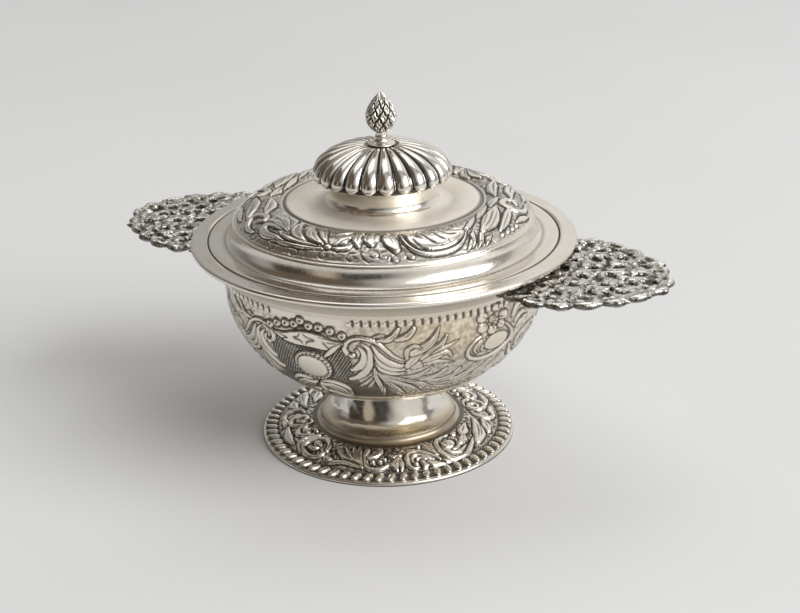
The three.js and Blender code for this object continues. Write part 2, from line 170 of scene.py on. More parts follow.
def add_mesh(name, points, faces, material, attributes=None, uv=None):
    """A smooth mesh from points in millimetres and a list of face arrays."""
    mesh = bpy.data.meshes.new(name)
    mesh.vertices.add(len(points))
    mesh.vertices.foreach_set("co", (np.asarray(points) * MM).astype(np.float32).ravel())
    corners = np.concatenate([f.ravel() for f in faces]).astype(np.int32)
    sizes = np.concatenate([np.full(len(f), f.shape[1]) for f in faces])
    mesh.loops.add(len(corners))
    mesh.loops.foreach_set("vertex_index", corners)
    mesh.polygons.add(len(sizes))
    mesh.polygons.foreach_set("loop_start", np.r_[0, np.cumsum(sizes)[:-1]].astype(np.int32))
    mesh.update(calc_edges=True)
    mesh.polygons.foreach_set("use_smooth", np.ones(len(sizes), bool))
    for key, values in (attributes or {}).items():
        made = mesh.attributes.new(key, "FLOAT", "POINT")
        made.data.foreach_set("value", np.asarray(values, np.float32).ravel())
    if uv is not None:
        mesh.uv_layers.new(name="OFBake").uv.foreach_set("vector", uv.astype(np.float32).ravel())
    mesh.materials.append(material)
    return stand(name, mesh)


def piece_of(name, points, faces, marks, uv):
    """A piece on its body, in the stead of its node, as the table of pieces says."""
    material, body, node, slot = PIECES[name]
    piece = add_mesh(name, points, faces, material, marks, uv)
    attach(piece, body)
    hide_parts(node)


def turned(name, profile, columns, height=0.0, marks=None):
    """A profile turned about +Z. height moves each row and column out along the profile's normal.
    The profile closes on itself, or starts and ends on the axis."""
    rows, on_axis = len(profile), profile[0, 0] < 1e-6
    height = np.broadcast_to(height, (rows, columns))
    closed = np.vstack([profile, profile[:1]])
    angle, out = np.radians(around(columns)), normals(closed)[:rows]
    radius = np.maximum(profile[:, :1] + out[:, :1] * height, 0)
    z = profile[:, 1:] + out[:, 1:] * height
    points = np.stack([radius * np.sin(angle), -radius * np.cos(angle), z], -1)
    index = np.arange(rows * columns).reshape(rows, columns)
    lower = np.arange(rows - 1 if on_axis else rows)
    upper, right = (lower + 1) % rows, np.roll(index, -1, axis=1)
    quads = np.stack([index[lower], right[lower], right[upper], index[upper]], -1)
    along = lengths(closed)
    v, u = along / along[-2 if on_axis else -1], np.arange(columns + 1) / columns
    corner = lambda uu, vv: np.stack(np.broadcast_arrays(uu[None, :], vv[:, None]), -1)
    low_v, high_v = v[lower], v[lower + 1]
    uv = np.stack(
        [corner(u[:-1], low_v), corner(u[1:], low_v), corner(u[1:], high_v), corner(u[:-1], high_v)], 2
    )
    if on_axis:
        points[0], points[-1] = points[0].mean(0), points[-1].mean(0)
        quads[0, :, 0], quads[-1, :, 3] = index[0, 0], index[-1, 0]
        bottom, top = [0, 2, 3], [0, 1, 3]  # the corners that triangles at the axis keep
        faces = [quads[1:-1].reshape(-1, 4), quads[0][:, bottom], quads[-1][:, top]]
        uv = [uv[1:-1].reshape(-1, 2), uv[0][:, bottom].reshape(-1, 2), uv[-1][:, top].reshape(-1, 2)]
    else:
        faces, uv = [quads.reshape(-1, 4)], [uv.reshape(-1, 2)]
    used = np.zeros(rows * columns, bool)
    for f in faces:
        used[f.ravel()] = True
    number = np.cumsum(used) - 1
    cells = {key: np.broadcast_to(value, (rows, columns)) for key, value in (marks or {}).items()}
    marks = {key: value.ravel()[used] for key, value in cells.items()}
    piece_of(name, points.reshape(-1, 3)[used], [number[f] for f in faces], marks, np.concatenate(uv))


# Chasing: forms raised on a band and lines cut into it


def smooth_path(points, step=0.5):
    """A Catmull-Rom curve through points, with points about one step apart."""
    p = np.array(points, float)
    if len(p) == 2:
        n = max(2, int(np.linalg.norm(p[1] - p[0]) / step))
        return p[0] + (p[1] - p[0]) * np.linspace(0, 1, n + 1)[:, None]
    q = np.vstack([2 * p[0] - p[1], p, 2 * p[-1] - p[-2]])
    out = []
    for a, b, c, d in zip(q[:-3], q[1:-2], q[2:-1], q[3:]):
        n = max(2, int(np.linalg.norm(c - b) / step))
        t = np.linspace(0, 1, n, endpoint=False)[:, None]
        square, cube = (2 * a - 5 * b + 4 * c - d) * t**2, (3 * b - a - 3 * c + d) * t**3
        out.append(0.5 * (2 * b + (c - a) * t + square + cube))
    return np.vstack(out + [p[-1:]])


def distance(x, y, path):
    """Each cell's distance from a path, and how far along the path it lies, from 0 to 1."""
    best, share = np.full(x.shape, 1e9), np.zeros(x.shape)
    along = lengths(path)
    for k in range(len(path) - 1):
        (ax, ay), (dx, dy) = path[k], path[k + 1] - path[k]
        t = unit(((x - ax) * dx + (y - ay) * dy) / max(dx * dx + dy * dy, 1e-9))
        d = (x - ax - t * dx) ** 2 + (y - ay - t * dy) ** 2
        near = d < best
        best[near] = d[near]
        share[near] = ((along[k] + t * (along[k + 1] - along[k])) / max(along[-1], 1e-6))[near]
    return np.sqrt(best), share


def blurred(field, reach):
    """A box blur of a field, twice: it stops at the first and last row and goes round in columns."""
    steps, rows = range(-reach, reach + 1), np.arange(len(field))
    for _ in range(2):
        field = sum(field[np.clip(rows + k, 0, len(rows) - 1)] for k in steps) / len(steps)
        field = sum(np.roll(field, k, 1) for k in steps) / len(steps)
    return field


class Band:
    """A chased band. Its rows lie along a profile, at distances s in millimetres that grow from row
    to row, and its columns at angles in degrees."""

    def __init__(self, radii, s, columns):
        self.r, self.s, self.columns = radii, s, columns
        self.height, self.dark, self.hatch = np.zeros((3, len(s), columns))

    def facing(self, turn, mirror=1):
        """The same band, drawn on from another angle, and mirrored if mirror is -1."""
        self.turn, self.mirror = turn, mirror
        return self

    def window(self, paths, margin):
        """Indexes of the cells near some paths, the cells' places in millimetres, and the paths'."""
        points = np.vstack(paths)
        angles = self.turn + self.mirror * points[:, 0]
        low_s, high_s = points[:, 1].min() - margin, points[:, 1].max() + margin
        rows = np.flatnonzero((self.s > low_s) & (self.s < high_s))
        step = 360 / self.columns
        reach = math.degrees(margin / self.r[rows].min())
        first, last = math.floor((angles.min() - reach) / step), math.ceil((angles.max() + reach) / step)
        columns, middle = np.arange(first, last + 1), angles.mean()
        x = np.radians(columns * step - middle)[None, :] * self.r[rows][:, None]
        y = np.broadcast_to(self.s[rows][:, None], x.shape)
        placed = []
        for a, s in (path.T for path in paths):
            radius = np.interp(s, self.s, self.r)
            placed.append(np.stack([np.radians(self.turn + self.mirror * a - middle) * radius, s], 1))
        return np.ix_(rows, columns % self.columns), x, y, placed

    def raised(self, index, inside, lift, rise, level, groove, cut, dark):
        """Lifts the cells inside an outline, and cuts a dark line just outside it."""
        cover = unit(inside / EDGE)
        ring = np.exp(-(((inside + groove * 0.6) / groove) ** 2))
        self.height[index] = self.height[index] * (1 - cover) + (level + rise * lift) * cover - cut * ring
        self.dark[index] = np.maximum(self.dark[index] * (1 - cover), dark * ring)
        self.hatch[index] *= 1 - cover

    def form(self, lobes, rise=0.5, groove=0.3, cut=0.22, crown=0.5, trough=0.0):
        """Raises a form: the union of lobes, each a list of half widths and a list of points."""
        paths = [smooth_path(points) for _, points in lobes]
        index, x, y, placed = self.window(paths, max(max(w) for w, _ in lobes) + 1.5)
        inside, lift = np.full(x.shape, -9.0), np.zeros(x.shape)
        for (widths, _), path in zip(lobes, placed):
            d, share = distance(x, y, path)
            w = np.interp(share, np.linspace(0, 1, len(widths)), widths)
            bulge = unit(1 - (d / np.maximum(w, 0.05)) ** 2) ** crown
            bulge -= trough * np.exp(-((d / np.maximum(0.4 * w, 0.05)) ** 2))
            lift = np.maximum(lift, bulge * np.minimum(1, 0.45 + w / 1.6))
            inside = np.maximum(inside, w - d)
        self.raised(index, inside, lift, rise, 0.0, groove, cut, 1.0)

    def boss(self, centre, size, rise, level=0.0, groove=0.3, cut=0.2, crown=0.5, dark=1.0):
        """Raises a round or oval boss: its centre and its half width and half height in millimetres."""
        index, x, y, placed = self.window([np.array([centre], float)], max(size) + 1.5)
        (cx, cy), (a, b) = placed[0][0], size
        q = np.hypot((x - cx) / a, (y - cy) / b)
        self.raised(index, (1 - q) * min(a, b), unit(1 - q**2) ** crown, rise, level, groove, cut, dark)

    def line(self, points, width=0.22, depth=0.15, dark=0.9):
        """Cuts a line."""
        index, x, y, placed = self.window([smooth_path(points)], width * 3 + 0.5)
        d, share = distance(x, y, placed[0])
        taper = np.clip(np.minimum(share, 1 - share) * 6, 0.35, 1)
        mark = np.exp(-((d / (width * taper)) ** 2))
        self.height[index] -= depth * mark
        self.dark[index] = np.maximum(self.dark[index], dark * mark)

    def patch(self, half, s_from, s_to, soft, dark, hatch=0.0):
        """Darkens or hatches a soft-edged patch about the middle."""
        index, x, y, _ = self.window([np.array([[-half, s_from], [half, s_to]], float)], soft)
        cover = unit((half - np.abs(x)) / soft) * unit((y - s_from) / soft) * unit((s_to - y) / soft)
        self.dark[index] = np.maximum(self.dark[index], dark * cover)
        self.hatch[index] = np.maximum(self.hatch[index], hatch * cover)

    def ground(self, s_from, s_to, depth, dark):
        """Punched ground all over the rows between two distances."""
        grain = blurred(rng.normal(size=self.height.shape), 1)
        grain /= grain.std()
        edge = soft_ends(self.s, s_from, s_to, 0.8)
        self.height -= depth * edge * (0.5 + 0.5 * grain)
        self.dark = np.maximum(self.dark, edge * dark * np.clip(0.8 + grain * 0.6, 0, 1.6))

    def marks(self):
        """How hollow and how proud each cell is, from 0 to 1, for the finish."""
        hollow = unit((blurred(self.height, 3) - self.height) * 5.5)
        crest = unit((self.height - blurred(self.height, 4)) * 5.0)
        dark = unit(np.maximum(self.dark, hollow))
        return {"hollow": dark, "crest": crest * (1 - dark)}


def spread(shape, first, marks, *more):
    """A band's marks as those of the whole piece, from its first row on, and more marks of 0."""
    whole = {key: np.zeros(shape) for key in (*marks, *more)}
    for key, value in marks.items():
        whole[key][first : first + len(value)] = value
    return whole


def soft_ends(s, low, high, width):
    """1 along a band, with a slope down to 0 at each end."""
    return unit(np.minimum(s - low, high - s) / width)[:, None]


# Ornament of the bowl, drawn for half a side, from the cartouche to the middle of the ear
# A lobe is (half widths, points), and its points are (angle in degrees, distance s in millimetres).

SCROLL = [
    ([0.9, 0.8, 0.75, 0.7, 0.2], [(16.3, 43.9), (14.4, 45), (13.7, 47.2), (15, 49.8), (17.8, 51.1),
     (21.3, 50.9), (24.5, 49.6), (27.2, 46.9), (30.4, 43.6), (34.9, 41)]),
    ([0.3, 0.9, 1.3, 1.5, 0.7], [(19.4, 49.2), (21.8, 46.8), (22.2, 42.6), (21.2, 38.6), (18.8, 35),
     (16, 33), (14.2, 32.4)]),
    ([0.3, 0.9, 1.3, 1.5, 0.8], [(18.2, 47.8), (19.9, 45.6), (20, 42.4), (18.8, 39.8), (17, 38.2),
     (15.6, 37.6)]),
    ([0.2, 0.6, 0.5, 0.25], [(17.4, 46.7), (18.3, 45), (18, 43.4)]),
    ([0.3, 1.1, 1.2, 0.3], [(23, 48.4), (25.4, 44.2), (28.6, 41), (32, 39.5), (35.4, 39.7)]),
    ([0.25, 0.9, 0.9, 0.2], [(23.6, 44.6), (25.2, 41), (28.2, 38.6), (31.6, 37.5), (35, 37.9)]),
    ([0.2, 0.8, 0.8, 0.2], [(23.8, 41.2), (25.5, 38), (28.5, 36.2), (31.5, 35.5), (34.4, 36)]),
]
FAN = [
    ([0.3, 0.9, 1.1, 0.3], [(23.4, 38.4), (23.7, 34), (24.8, 29.5), (26, 24.5), (26.2, 19)]),
    ([0.3, 0.9, 1.1, 0.25], [(23.9, 37), (26.4, 32.8), (29.6, 28.4), (32.6, 24.2), (35.4, 19.6)]),
    ([0.25, 0.9, 1.2, 0.25], [(24.4, 36.4), (28, 33), (32.4, 29.6), (37.4, 26), (42, 21.4)]),
    ([0.25, 0.8, 1.2, 0.3], [(25.2, 35.6), (29, 33.8), (33.5, 32), (38, 30), (43, 27), (47.5, 23.4)]),
    ([0.2, 0.6, 0.75, 0.2], [(22.9, 34.6), (21, 31.4), (19, 29.2), (16.8, 27.4)]),
    ([0.2, 0.6, 0.8, 0.25], [(23.2, 32.6), (21.8, 29), (20, 26.2)]),
]
FEATHER = [
    ([0.4, 1.0, 1.0, 0.4], [(29.5, 34.2), (34.5, 33), (39.5, 34), (43.8, 37.4)]),
    ([0.5, 1.2, 1.4, 0.5], [(34, 32), (40, 31.2), (45.6, 32.2), (49.6, 35.4)]),
    ([0.5, 1.3, 1.6, 0.5], [(40, 29.6), (46.5, 28.6), (52, 29.4), (55.4, 34)]),
    ([0.5, 1.3, 1.6, 0.5], [(47, 27.6), (53.5, 27), (58.8, 28.4), (62.2, 33.8)]),
    ([0.5, 1.3, 1.6, 0.5], [(54, 26.6), (60.5, 26), (66, 28.2), (69.8, 33.8)]),
    ([0.5, 1.2, 1.4, 0.4], [(62, 26.5), (68.5, 26.2), (73, 29.5), (75.8, 34.6)]),
    ([0.5, 1.2, 1.1, 0.25], [(41, 28), (47.5, 25.6), (53.5, 23), (57.5, 19.6)]),
    ([0.5, 1.2, 1.1, 0.25], [(51, 26), (58.5, 24.2), (64, 21.6), (67.5, 18.4)]),
    ([0.5, 1.2, 1.1, 0.25], [(61, 25.4), (68, 24), (73.5, 21.6), (77.5, 18.6)]),
]
LILY = [
    ([1.2, 2.0, 1.6], [(35, 39.2), (36.8, 41.8), (38.6, 44)]),
    ([0.8, 1.6, 1.6], [(36.8, 38.2), (38.8, 39.2), (41, 41)]),
    ([1.5, 1.7, 1.3, 0.15], [(36, 44.9), (39.6, 46.3), (43, 49), (45.5, 54.2)]),
    ([0.6, 0.8, 0.4], [(34.5, 42.6), (34.6, 46.2), (37, 47.6), (39, 46.6)]),
    ([0.9, 1.6, 1.2, 0.4], [(39.8, 42), (43.5, 44.8), (46.4, 47.4), (48, 50.2)]),
    ([0.5, 0.9, 0.6, 0.1], [(43, 43.4), (47, 45.3), (50, 46.3), (52.6, 47.6)]),
    ([0.8, 1.4, 1.0, 0.5], [(40.6, 40.8), (44.5, 42.2), (48.5, 43.4), (50.4, 41.4)]),
    ([0.6, 0.9, 0.6, 0.1], [(41, 39.2), (45, 39.7), (49, 39), (52, 37.8)]),
]
TOP_LEAVES = [
    ([0.6, 1.2, 0.8], [(25, 50.6), (27.8, 50.6), (30, 52), (31.5, 54.2)]),
    ([0.7, 1.3, 0.9], [(31, 50.6), (33.5, 51.2), (35.3, 52.3), (36.7, 54)]),
    ([0.4, 0.7, 0.3], [(23.6, 51.6), (25.4, 52.2), (27, 52)]),
]
RESERVE = [
    ([0.45, 0.8, 0.85, 0.8, 0.4], [(61.4, 46.3), (58.6, 44.7), (57, 42), (57.4, 39.2), (60, 37), (64.5, 36),
     (69.5, 36.4), (74.2, 38.2), (77.2, 41), (76.8, 44), (74.2, 47), (71, 49.6)]),
    ([0.35, 0.6, 0.35], [(62.3, 44.8), (60.2, 43.2), (59.7, 41), (61.2, 39)]),
    ([0.3, 0.55, 0.35], [(64.2, 45.4), (65.4, 44.4), (64.4, 42.6), (62.8, 41.5), (63.4, 39.8), (65.5, 39.2)]),
]
UNDER_EAR = [
    [([0.6, 1.5, 0.5], [(76, 50.2), (78, 53.4), (81, 54.6), (84.4, 52.6)])],
    [([0.5, 1.2, 0.3], [(77.6, 47.6), (80.6, 49.6), (84.2, 49.4)]), ([0.5, 1.1, 0.3], [(79.4, 44.6),
     (82.4, 46.6), (86.2, 47)])],
    [([0.5, 0.8, 0.8, 0.5], [(91, 41.5), (86.6, 41.6), (83.2, 38.6), (84, 35), (87.4, 34), (88.4, 36.4),
     (87, 37.6)])],
    [([0.7, 1.3, 0.6], [(78.6, 37), (81.4, 32.6), (85.6, 29.6), (91, 28.6)]), ([0.7, 1.4, 0.6], [(79.4, 25),
     (84.6, 22.6), (91, 23)])],
    [([0.4, 1.1, 0.4], [(86, 51.4), (88.6, 53.6), (91, 54.8)])],
]
FLOWER = (66, 52)
PETALS = [
    (61.6, 53.6, 2.2, 2.0), (61.9, 49.7, 2.2, 2.0), (66.2, 47.9, 2.0, 1.8), (71.0, 52.2, 2.2, 2.0),
     (67.6, 55.8, 1.9, 1.6), (70.2, 49, 1.7, 1.6),
]
VEINS = [
    [(28, 35), (34, 33.4), (39, 33.8), (43, 36.4)],
    [(31, 33), (38, 31.8), (44, 32.6), (48.4, 34.8)],
    [(34, 31.6), (40.5, 30.2), (46, 30.8), (50, 32.8)],
    [(38, 30.4), (45.5, 28.8), (51, 29.8), (54.4, 33)],
    [(42, 29), (50, 27.8), (55, 29), (57.4, 31.2)],
    [(47, 27.6), (53.5, 27.2), (58, 28.6), (61.2, 32.8)],
    [(51, 27), (58.5, 26.2), (63, 27.8), (65, 30.6)],
    [(56, 26.4), (61.5, 26.4), (65.6, 28.6), (68.8, 32.8)],
    [(63, 26.4), (68.5, 26.8), (72.4, 29.8), (74.8, 33.4)],
    [(44, 27.2), (49.5, 25.2), (54, 22.8)],
    [(53, 25.6), (59.5, 23.8), (64.4, 21)],
    [(38.4, 45), (41.4, 46.6), (43.8, 49.2), (45, 52)],
    [(37.4, 46.2), (40, 47.2), (42.4, 49)],
    [(40.6, 43.4), (43.8, 46), (46, 48.6)],
    [(42.6, 44), (45.6, 46.4), (47.2, 48.6)],
    [(42, 41.6), (45, 42.6), (48.4, 42.6)],
    [(29, 51), (30.4, 52.2), (31, 53.4)],
    [(33.6, 51.4), (35.2, 52.6), (36, 53.6)],
    [(24.6, 33.6), (25.8, 29.5), (26.4, 25)],
    [(26.4, 33), (29.2, 29), (31.6, 25)],
    [(14.6, 47.4), (15.8, 49.3), (18, 50.5), (21.4, 50.3)],
]

def bowl_half(band):
    """Everything to one side of the cartouche."""
    band.form(FEATHER, rise=0.42, crown=0.28, trough=0.25, cut=0.3, groove=0.25)
    band.form(FAN, rise=0.5, crown=0.35, trough=0.2, cut=0.3, groove=0.25)
    band.form(SCROLL, rise=0.55, crown=0.35, trough=0.15, cut=0.34, groove=0.28)
    band.boss((16.2, 44.2), (1.2, 1.1), 0.7)
    for lobe in TOP_LEAVES:
        band.form([lobe], rise=0.45, crown=0.3, trough=0.2)
    for lobe in LILY:
        band.form([lobe], rise=0.45, crown=0.25, trough=0.2, cut=0.28)
    band.form(RESERVE, rise=0.5, crown=0.35, cut=0.3)
    band.boss((69.4, 42.3), (5.7, 3.6), 0.3, crown=0.35)
    for a, s, w, h in PETALS:
        band.boss((a, s), (w, h), 0.5, crown=0.3, cut=0.3)
        toward = lambda k: (a + (FLOWER[0] - a) * k, s + (FLOWER[1] - s) * k)
        band.line([toward(0.05), toward(0.4), toward(0.75)])
        band.line([(a - 0.8, s + 0.9), toward(0.5)], width=0.2)
        band.line([(a + 0.8, s - 0.7), toward(0.6)], width=0.2)
    band.boss(FLOWER, (1.5, 1.4), 0.6, cut=0.4)
    band.boss(FLOWER, (0.5, 0.5), 0.3, cut=0.3)
    for lobes in UNDER_EAR:
        band.form(lobes, rise=0.5, crown=0.35, trough=0.2, cut=0.3)
    for _, path in FEATHER + FAN + TOP_LEAVES + LILY:
        band.line(path, width=0.17, depth=0.12, dark=0.7)
    for vein in VEINS:
        band.line(vein, depth=0.24)


SINK = 1.1  # the cartouche stands this much lower than its drawing
FLANKS = [  # each with its rise, groove, cut and crown
    ([1.0, 3.4, 3.4, 0.5], [(1.6, 28.6), (4.6, 27.6), (8.6, 25.2), (12.4, 21.8)], (1.0, 0.45, 0.35, 0.4)),
    ([0.4, 0.9, 0.9, 0.3], [(2.4, 30), (7, 30.6), (11.6, 27.6), (12.6, 23.2)], (0.8, 0.3, 0.22, 0.5)),
    ([0.8, 1.9, 1.2, 0.3], [(0.8, 22.4), (4, 20.6), (8, 18.6), (12, 17.6)], (0.6, 0.3, 0.22, 0.35)),
]
FLANK_VEINS = [
    [(3, 28.2), (6.4, 25.8), (9.6, 22.6)],
    [(5, 28.8), (8.4, 26.6), (11, 23.6)],
    [(2.4, 27.2), (5.4, 24.6), (8.4, 22.4)],
]
CORONET_SHADE = [(-15.2, 51), (-11, 52.8), (-4.4, 54), (1.4, 54.2), (6, 54), (10, 53), (14, 51.4)]
CORONET_BAND = [(-12.8, 50), (-8.6, 49.1), (-4.4, 49.4), (0, 49.8), (4.4, 49.5), (8.6, 48.8), (12.8, 49.6)]
CORONET_LINES = [  # each with its width
    ([(-5, 49.8), (-2.8, 50.4), (-2, 52.2)], 0.3),
    ([(-1.2, 52.3), (0.3, 50.8), (3.6, 50)], 0.3),
    ([(-5, 49.5), (-2.2, 49), (-0.9, 47.5)], 0.42),
    ([(-0.1, 47.5), (0.9, 49.1), (3.6, 49.8)], 0.42),
    ([(-10, 47.2), (-8.6, 48.6), (-7, 48.7)], 0.36),
    ([(-12, 50.2), (-9.6, 49.5), (-7.2, 48.9)], 0.3),
    ([(6.2, 50), (7.4, 48.3), (8.6, 47)], 0.42),
    ([(7.4, 49.8), (9.6, 49.6), (11.4, 49.7)], 0.3),
    ([(-9, 50.9), (-6, 51.4)], 0.2),
    ([(4.6, 51.6), (8, 50.9)], 0.2),
]
PEARLS = [
    (-14.7, 52.3), (-11.4, 53.6), (-7.7, 54.4), (-4.2, 54.8), (-1.7, 56.4),
    (1.4, 54.9), (5, 54.8), (9, 54), (13.1, 52.6),
]


def cartouche(band, coronet):
    """The plain oval boss in its notched frame, under an arch of pearls or of leaves."""
    band.s = band.s + SINK
    for side in (-1, 1):
        for widths, points, (rise, groove, cut, crown) in FLANKS:
            band.form([(widths, [(side * a, s) for a, s in points])], rise, groove, cut, crown)
        for points in FLANK_VEINS:
            band.line([(side * a, s) for a, s in points])
    band.form([([0.3, 0.9, 1.2, 0.5], [(0, 27), (0, 23.6), (0, 20), (0, 17.6)])], rise=0.6)
    band.boss((0.6, 38), (7.0, 6.7), 0.5, crown=0.2, groove=0.5, cut=0.35)
    beads = 24
    spokes = lambda start: [
        (math.cos(t), math.sin(t)) for t in (math.radians(360 / beads * k + start) for k in range(beads))
    ]
    for c, s in spokes(4):
        band.boss((0.6 + c * 6.3, 38 + s * 6.1), (0.95, 0.95), 0.35, level=0.2, groove=0.2)
    for c, s in spokes(11.5):
        notch = [(0.5 + c * 5.5, 37.9 + s * 5.3), (0.6 + c * 6.5, 37.9 + s * 6.3)]
        band.line(notch, width=0.42, depth=0.45, dark=1)
    band.boss((0.4, 37.8), (5.7, 5.5), 0.8, level=0.15, crown=0.35)
    if coronet:
        band.line(CORONET_SHADE, width=1.3, depth=0.25, dark=1)
        arch = ([0.4, 1.7, 2.7, 3.1, 3.0, 2.4, 0.6], CORONET_BAND)
        band.form([arch], rise=0.35, crown=0.12, groove=0.4, cut=0.3)
        strap = ([0.4, 0.9, 0.9, 0.4], [(12.2, 49), (10.2, 47.4), (8, 45.2), (6.2, 43.4)])
        band.form([strap], rise=0.35, crown=0.3, groove=0.35)
        band.line([(-4.6, 45.2), (-1, 46), (2, 45.9), (6.2, 44.8)], width=0.8, depth=0.35, dark=1)
        for path, width in CORONET_LINES:
            band.line(path, width, depth=0.28, dark=1)
        for a, s in PEARLS:
            band.boss((a, s), (1.5, 1.5), 0.6, groove=0.35, cut=0.3)
            band.line([(a - 0.55, s), (a + 0.55, s)], width=0.62, depth=0.55, dark=1)
    else:
        for k in range(-3, 4):
            leaf = [(0.9 * k, 46.6), (2.5 * k, 50 - 0.18 * k * k), (3.9 * k, 53.6 - 0.45 * k * k)]
            band.form([([0.5, 1.3, 0.9], leaf)], rise=0.6, crown=0.4, trough=0.2)
        band.line([(-12, 46), (-6, 46.8), (0, 47), (6, 46.8), (12, 46)], width=0.4, depth=0.3, dark=1)
    band.s = band.s - SINK


def bead_row(band, skip):
    """A row of small beads under the plain rim, set apart by dark punched marks. It leaves out an arc
    of skip degrees to each side of the front cartouche."""
    count = 126
    for a in around(count):
        away = abs((a - FRONT + 180) % 360 - 180)
        if away < skip:
            continue
        band.facing(a)
        fade = min(1, (away - skip) / 2 + 0.5)
        band.line([(1.43, 55.1), (1.43, 57.7)], width=0.44, depth=0.4 * fade, dark=fade)
        band.line([(1.6, 57.2), (0.5, 57.3)], width=0.3, depth=0.2, dark=0.9 * fade)
        band.boss((0, 56.1), (0.9, 0.9), 0.35, crown=0.4, groove=0.15, cut=0.05, dark=0.3)


# Ornament of the cover, drawn for the side that the photograph shows, and repeated behind

COVER_BUDS = [
    ([0.9, 2.0, 1.9, 1.0], [(-9.9, 8.8), (-10.4, 11), (-10.6, 14), (-10, 17)]),
    ([1.2, 2.9, 2.9, 1.3], [(-4.6, 9.6), (-4.9, 11.6), (-4.9, 14), (-4.8, 16.4)]),
    ([1.5, 2.5, 2.3, 1.1], [(5.2, 7), (3.9, 9.4), (2.6, 12.6), (1.8, 16)]),
]
COVER_LEAVES = [
    ([0.4, 0.8, 0.8, 0.5], [(-24, 6.4), (-32, 5.8), (-40, 5.5), (-48, 5)]),
    ([0.3, 0.8, 0.9, 0.6], [(-27, 7.3), (-34, 7.6), (-40, 8), (-45, 8.6)]),
    ([0.4, 1.1, 1.6, 1.7, 1.4, 1.0, 0.4], [(-43, 6.4), (-48, 6.6), (-53, 6.2), (-57, 7.4), (-57.4, 9.6),
     (-54, 10.8), (-49, 10.6)]),
    ([0.4, 1.2, 1.6, 0.9], [(-45, 10.9), (-50, 12.3), (-55.6, 13.1), (-60.4, 11.8)]),
    ([0.4, 1.3, 1.7, 0.9], [(-44.6, 11.7), (-49, 14.1), (-54.6, 15.9), (-60.6, 15.4)]),
    ([0.4, 1.2, 1.5, 0.9], [(-44.4, 12.6), (-47.4, 15.8), (-52, 18.4), (-57, 19)]),
    ([0.5, 1.7, 2.2, 1.1], [(-33, 8.6), (-39, 10.8), (-42.4, 14), (-44, 18)]),
    ([0.4, 1.6, 2.3, 1.8], [(-24.6, 8.4), (-29.4, 10.6), (-33, 13), (-35.6, 15.6)]),
    ([0.4, 1.3, 1.6, 0.8], [(-23.2, 9.2), (-25.4, 11.4), (-27.6, 14.2), (-29, 18)]),
    ([0.3, 0.9, 0.5], [(-20, 8.4), (-17, 11), (-14.2, 13.6)]),
    ([0.4, 0.9, 0.8, 0.3], [(-20, 7), (-16.6, 6.9), (-13.6, 7.8), (-12, 9.6)]),
    ([0.3, 0.8, 0.3], [(-17.4, 9), (-15.6, 10.4), (-14.6, 12)]),
    ([0.3, 0.9, 0.4], [(-21, 14), (-18, 16), (-15, 18)]),
    ([0.5, 1.2, 1.0, 0.3], [(26.4, 13.8), (31.6, 12.8), (36.6, 13), (42, 14.6)]),
    ([0.4, 1.0, 1.0, 0.3], [(36.4, 10.8), (41, 12.6), (46, 14.8), (52, 16.8)]),
    ([0.3, 0.9, 0.9, 0.3], [(35.6, 3.6), (37.4, 6), (38.6, 8), (40.6, 9.8)]),
    ([0.3, 0.9, 0.9, 0.3], [(38.4, 3.2), (41, 5.4), (42.6, 7.2), (44.6, 8.8)]),
    ([0.3, 1.0, 0.3], [(42, 3), (44.4, 4.8), (46.6, 5.4)]),
    ([0.3, 0.7, 0.3], [(33, 3), (35.2, 4.6), (36.4, 6.4)]),
    ([0.5, 1.3, 1.0, 0.3], [(52, 15.6), (58, 17.2), (65, 18.2), (72, 18.6)]),
    ([0.5, 1.5, 1.5, 0.4], [(53, 5.8), (59, 7.4), (66, 9.2), (75, 10.6)]),
    ([0.8, 2.6, 3.0, 2.2, 0.5], [(44.6, 8.4), (50, 9.8), (56, 11.8), (63, 13.6), (71, 15)]),
    ([0.5, 1.3, 1.4, 0.7], [(86, 4.8), (79, 5), (74.4, 7.6), (73.6, 11), (77, 13.6), (82, 12.8),
     (83.2, 10.2), (80.4, 8.6)]),
    ([0.5, 1.3, 0.4], [(66, 5), (72, 4.2), (77, 2.8)]),
    ([0.5, 1.8, 0.6], [(71, 17), (77, 17.4), (84, 16)]),
    ([0.5, 1.3, 1.4, 0.7], [(-61, 4.4), (-67, 4.6), (-71, 7.6), (-70, 11), (-65.6, 12.4), (-62.6, 10.4),
     (-65, 8.4)]),
    ([0.8, 2.2, 1.9, 0.5], [(-70, 13.4), (-76, 15.6), (-83, 17), (-92, 16.6)]),
    ([0.8, 2.2, 1.9, 0.5], [(-73, 6.8), (-79, 9.2), (-86, 11), (-94, 10.6)]),
    ([0.5, 1.3, 0.4], [(-77, 3.8), (-83, 4.4), (-90, 5.4)]),
]
COVER_SHELL = [
    ([1.0, 3.0, 4.4, 4.8, 3.8, 1.4], [(11.4, 13.4), (13.6, 10.2), (18, 9.4), (23.5, 9.6), (29, 9.8),
     (35, 10.4)]),
    ([0.4, 0.75, 0.85, 0.75, 0.3], [(8, 15.6), (8.8, 10.6), (11.2, 6.9), (15, 4.7), (20.5, 3.8),
     (26.5, 4.3), (31, 5.7), (34.6, 8), (38, 11)]),
]
COVER_GROOVES = [
    [(12.6, 11.6), (13.4, 9), (14.8, 7.2), (17.4, 5.8)],
    [(18, 15.6), (18.4, 11.6), (20.2, 8.6), (22, 7.1)],
    [(23, 16), (23.3, 12.4), (24.6, 9.8), (26, 8.6)],
    [(26.4, 14.6), (27.8, 11.8), (29.6, 10.7), (32.6, 10.4)],
    [(15.2, 14.8), (15.4, 12.4), (16.8, 10.6)],
]
